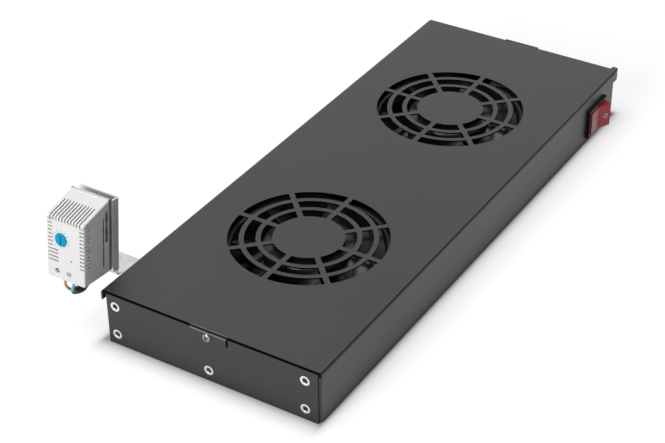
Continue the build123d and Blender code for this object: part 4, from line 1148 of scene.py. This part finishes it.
# %% The floor
FLOOR_SIZE = 12.0
FLOOR_GREY = 0.45
FLOOR_LIFT = 0.66
# the painted shadow: how far the floor's lift fades beside each side of the housing
PAINTED_SHADOW_FADES = (
    ("X", -1.0, 0.2413, 0.0083),
    ("X", 1.0, 0.2413, 0.0025),
    ("Y", -1.0, 0.0915, 0.0031),
    ("Y", 1.0, 0.0915, 0.0031),
)  # axis, side, the housing's half size there, how far the fade reaches
bpy.ops.object.select_all(action="DESELECT")
bpy.ops.mesh.primitive_plane_add(size=FLOOR_SIZE, location=(0.0, 0.0, 0.0))
floor = bpy.context.object
floor.name = "studio_floor"


def seen_directly(tree):
    """1 for the camera's rays and for those of mirrors and clear plastic, and 0 for others."""
    path = tree.nodes.new("ShaderNodeLightPath").outputs
    seen = math_node(tree, "MAXIMUM", path["Is Camera Ray"], path["Is Glossy Ray"])
    return math_node(tree, "MAXIMUM", seen, path["Is Transmission Ray"])


def lift_with_painted_shadow(tree):
    """0 under the housing, rising to 1 a little way from its sides: a painted shadow along its
    foot.
    """
    spot = split(tree, object_place(tree))
    squares = 0.0
    for axis, side, half, reach in PAINTED_SHADOW_FADES:
        beyond = math_node(tree, "SUBTRACT", math_node(tree, "MULTIPLY", spot[axis], side), half)
        beyond = math_node(tree, "DIVIDE", math_node(tree, "MAXIMUM", beyond, 0.0), reach)
        squares = math_node(tree, "ADD", squares, math_node(tree, "POWER", beyond, 2.0))
    away = math_node(tree, "SQRT", squares)
    shade = math_node(tree, "EXPONENT", math_node(tree, "MULTIPLY", away, -1.0))
    return math_node(tree, "SUBTRACT", 1.0, shade)


def floor_material():
    """Matt paper, lifted to white where the camera or a mirror sees it, with painted shadow beside
    the housing.
    """
    material = bpy.data.materials.new("white paper")
    material.use_nodes = True
    tree, shader = shader_of(material)
    shader.inputs["Base Color"].default_value = (FLOOR_GREY, FLOOR_GREY, FLOOR_GREY, 1.0)
    shader.inputs["Roughness"].default_value = 0.9
    shader.inputs["Specular IOR Level"].default_value = 0.0
    shader.inputs["Emission Color"].default_value = (1.0, 1.0, 1.0, 1.0)
    lifted = math_node(tree, "MULTIPLY", seen_directly(tree), FLOOR_LIFT)
    # painted shadow: the lift fades beside the housing
    lifted = math_node(tree, "MULTIPLY", lifted, lift_with_painted_shadow(tree))
    tree.links.new(lifted, shader.inputs["Emission Strength"])
    return material


floor.data.materials.append(floor_material())
print("floor", FLOOR_SIZE, "m across")

# %% [markdown]
# The surround is an even pale world that lights the unit at a plain level. The camera and the
# mirrors see a brighter one, white at the horizon and greyer overhead. The black coat shows that
# grey as the soft sheen of a studio ceiling.

# %% The surround
WORLD_LIGHT = 0.23
HORIZON, OVERHEAD = 1.0, 0.42
GREYS_FROM, GREYS_TO = 0.46, 0.64


def surround():
    """An even pale world, white where the camera looks straight at it."""
    world = bpy.data.worlds.new("surround")
    bpy.context.scene.world = world
    world.use_nodes = True
    tree = world.node_tree
    background = tree.nodes["Background"]
    background.inputs["Color"].default_value = (1.0, 1.0, 1.0, 1.0)
    way = split(tree, tree.nodes.new("ShaderNodeTexCoord").outputs["Generated"])
    shown = ramp(tree, way["Z"], GREYS_FROM, GREYS_TO, HORIZON, OVERHEAD)
    strength = ramp(tree, seen_directly(tree), 0.0, 1.0, WORLD_LIGHT, shown)
    tree.links.new(strength, background.inputs["Strength"])


surround()
print("surround:", bpy.context.scene.world.name)

# %% [markdown]
# Two large panels are the lamps. Their size makes the shadow's edge soft. The one overhead, a
# little behind the unit, puts a gentle gradient over the top plate, and the one on the left keeps
# the near end and the thermostat's front light.

# %% Lamps
def panel_lamp(name, place, target, size, watts):
    """A square soft lamp aimed at a point."""
    lamp = bpy.data.objects.new(name, bpy.data.lights.new(name, "AREA"))
    bpy.context.scene.collection.objects.link(lamp)
    lamp.data.shape = "SQUARE"
    lamp.data.size = size
    lamp.data.energy = watts
    lamp.location = place
    lamp.rotation_euler = (Vector(target) - Vector(place)).to_track_quat("-Z", "Y").to_euler()
    return lamp


panel_lamp("overhead_panel", (-0.2, 0.6, 2.4), (0.0, 0.0, 0.0), size=2.0, watts=31.0)
panel_lamp("left_panel", (-2.3, 0.3, 1.1), (-0.2, 0.0, 0.0), size=1.1, watts=42.0)
print("lamps:", [light.name for light in bpy.data.lights])
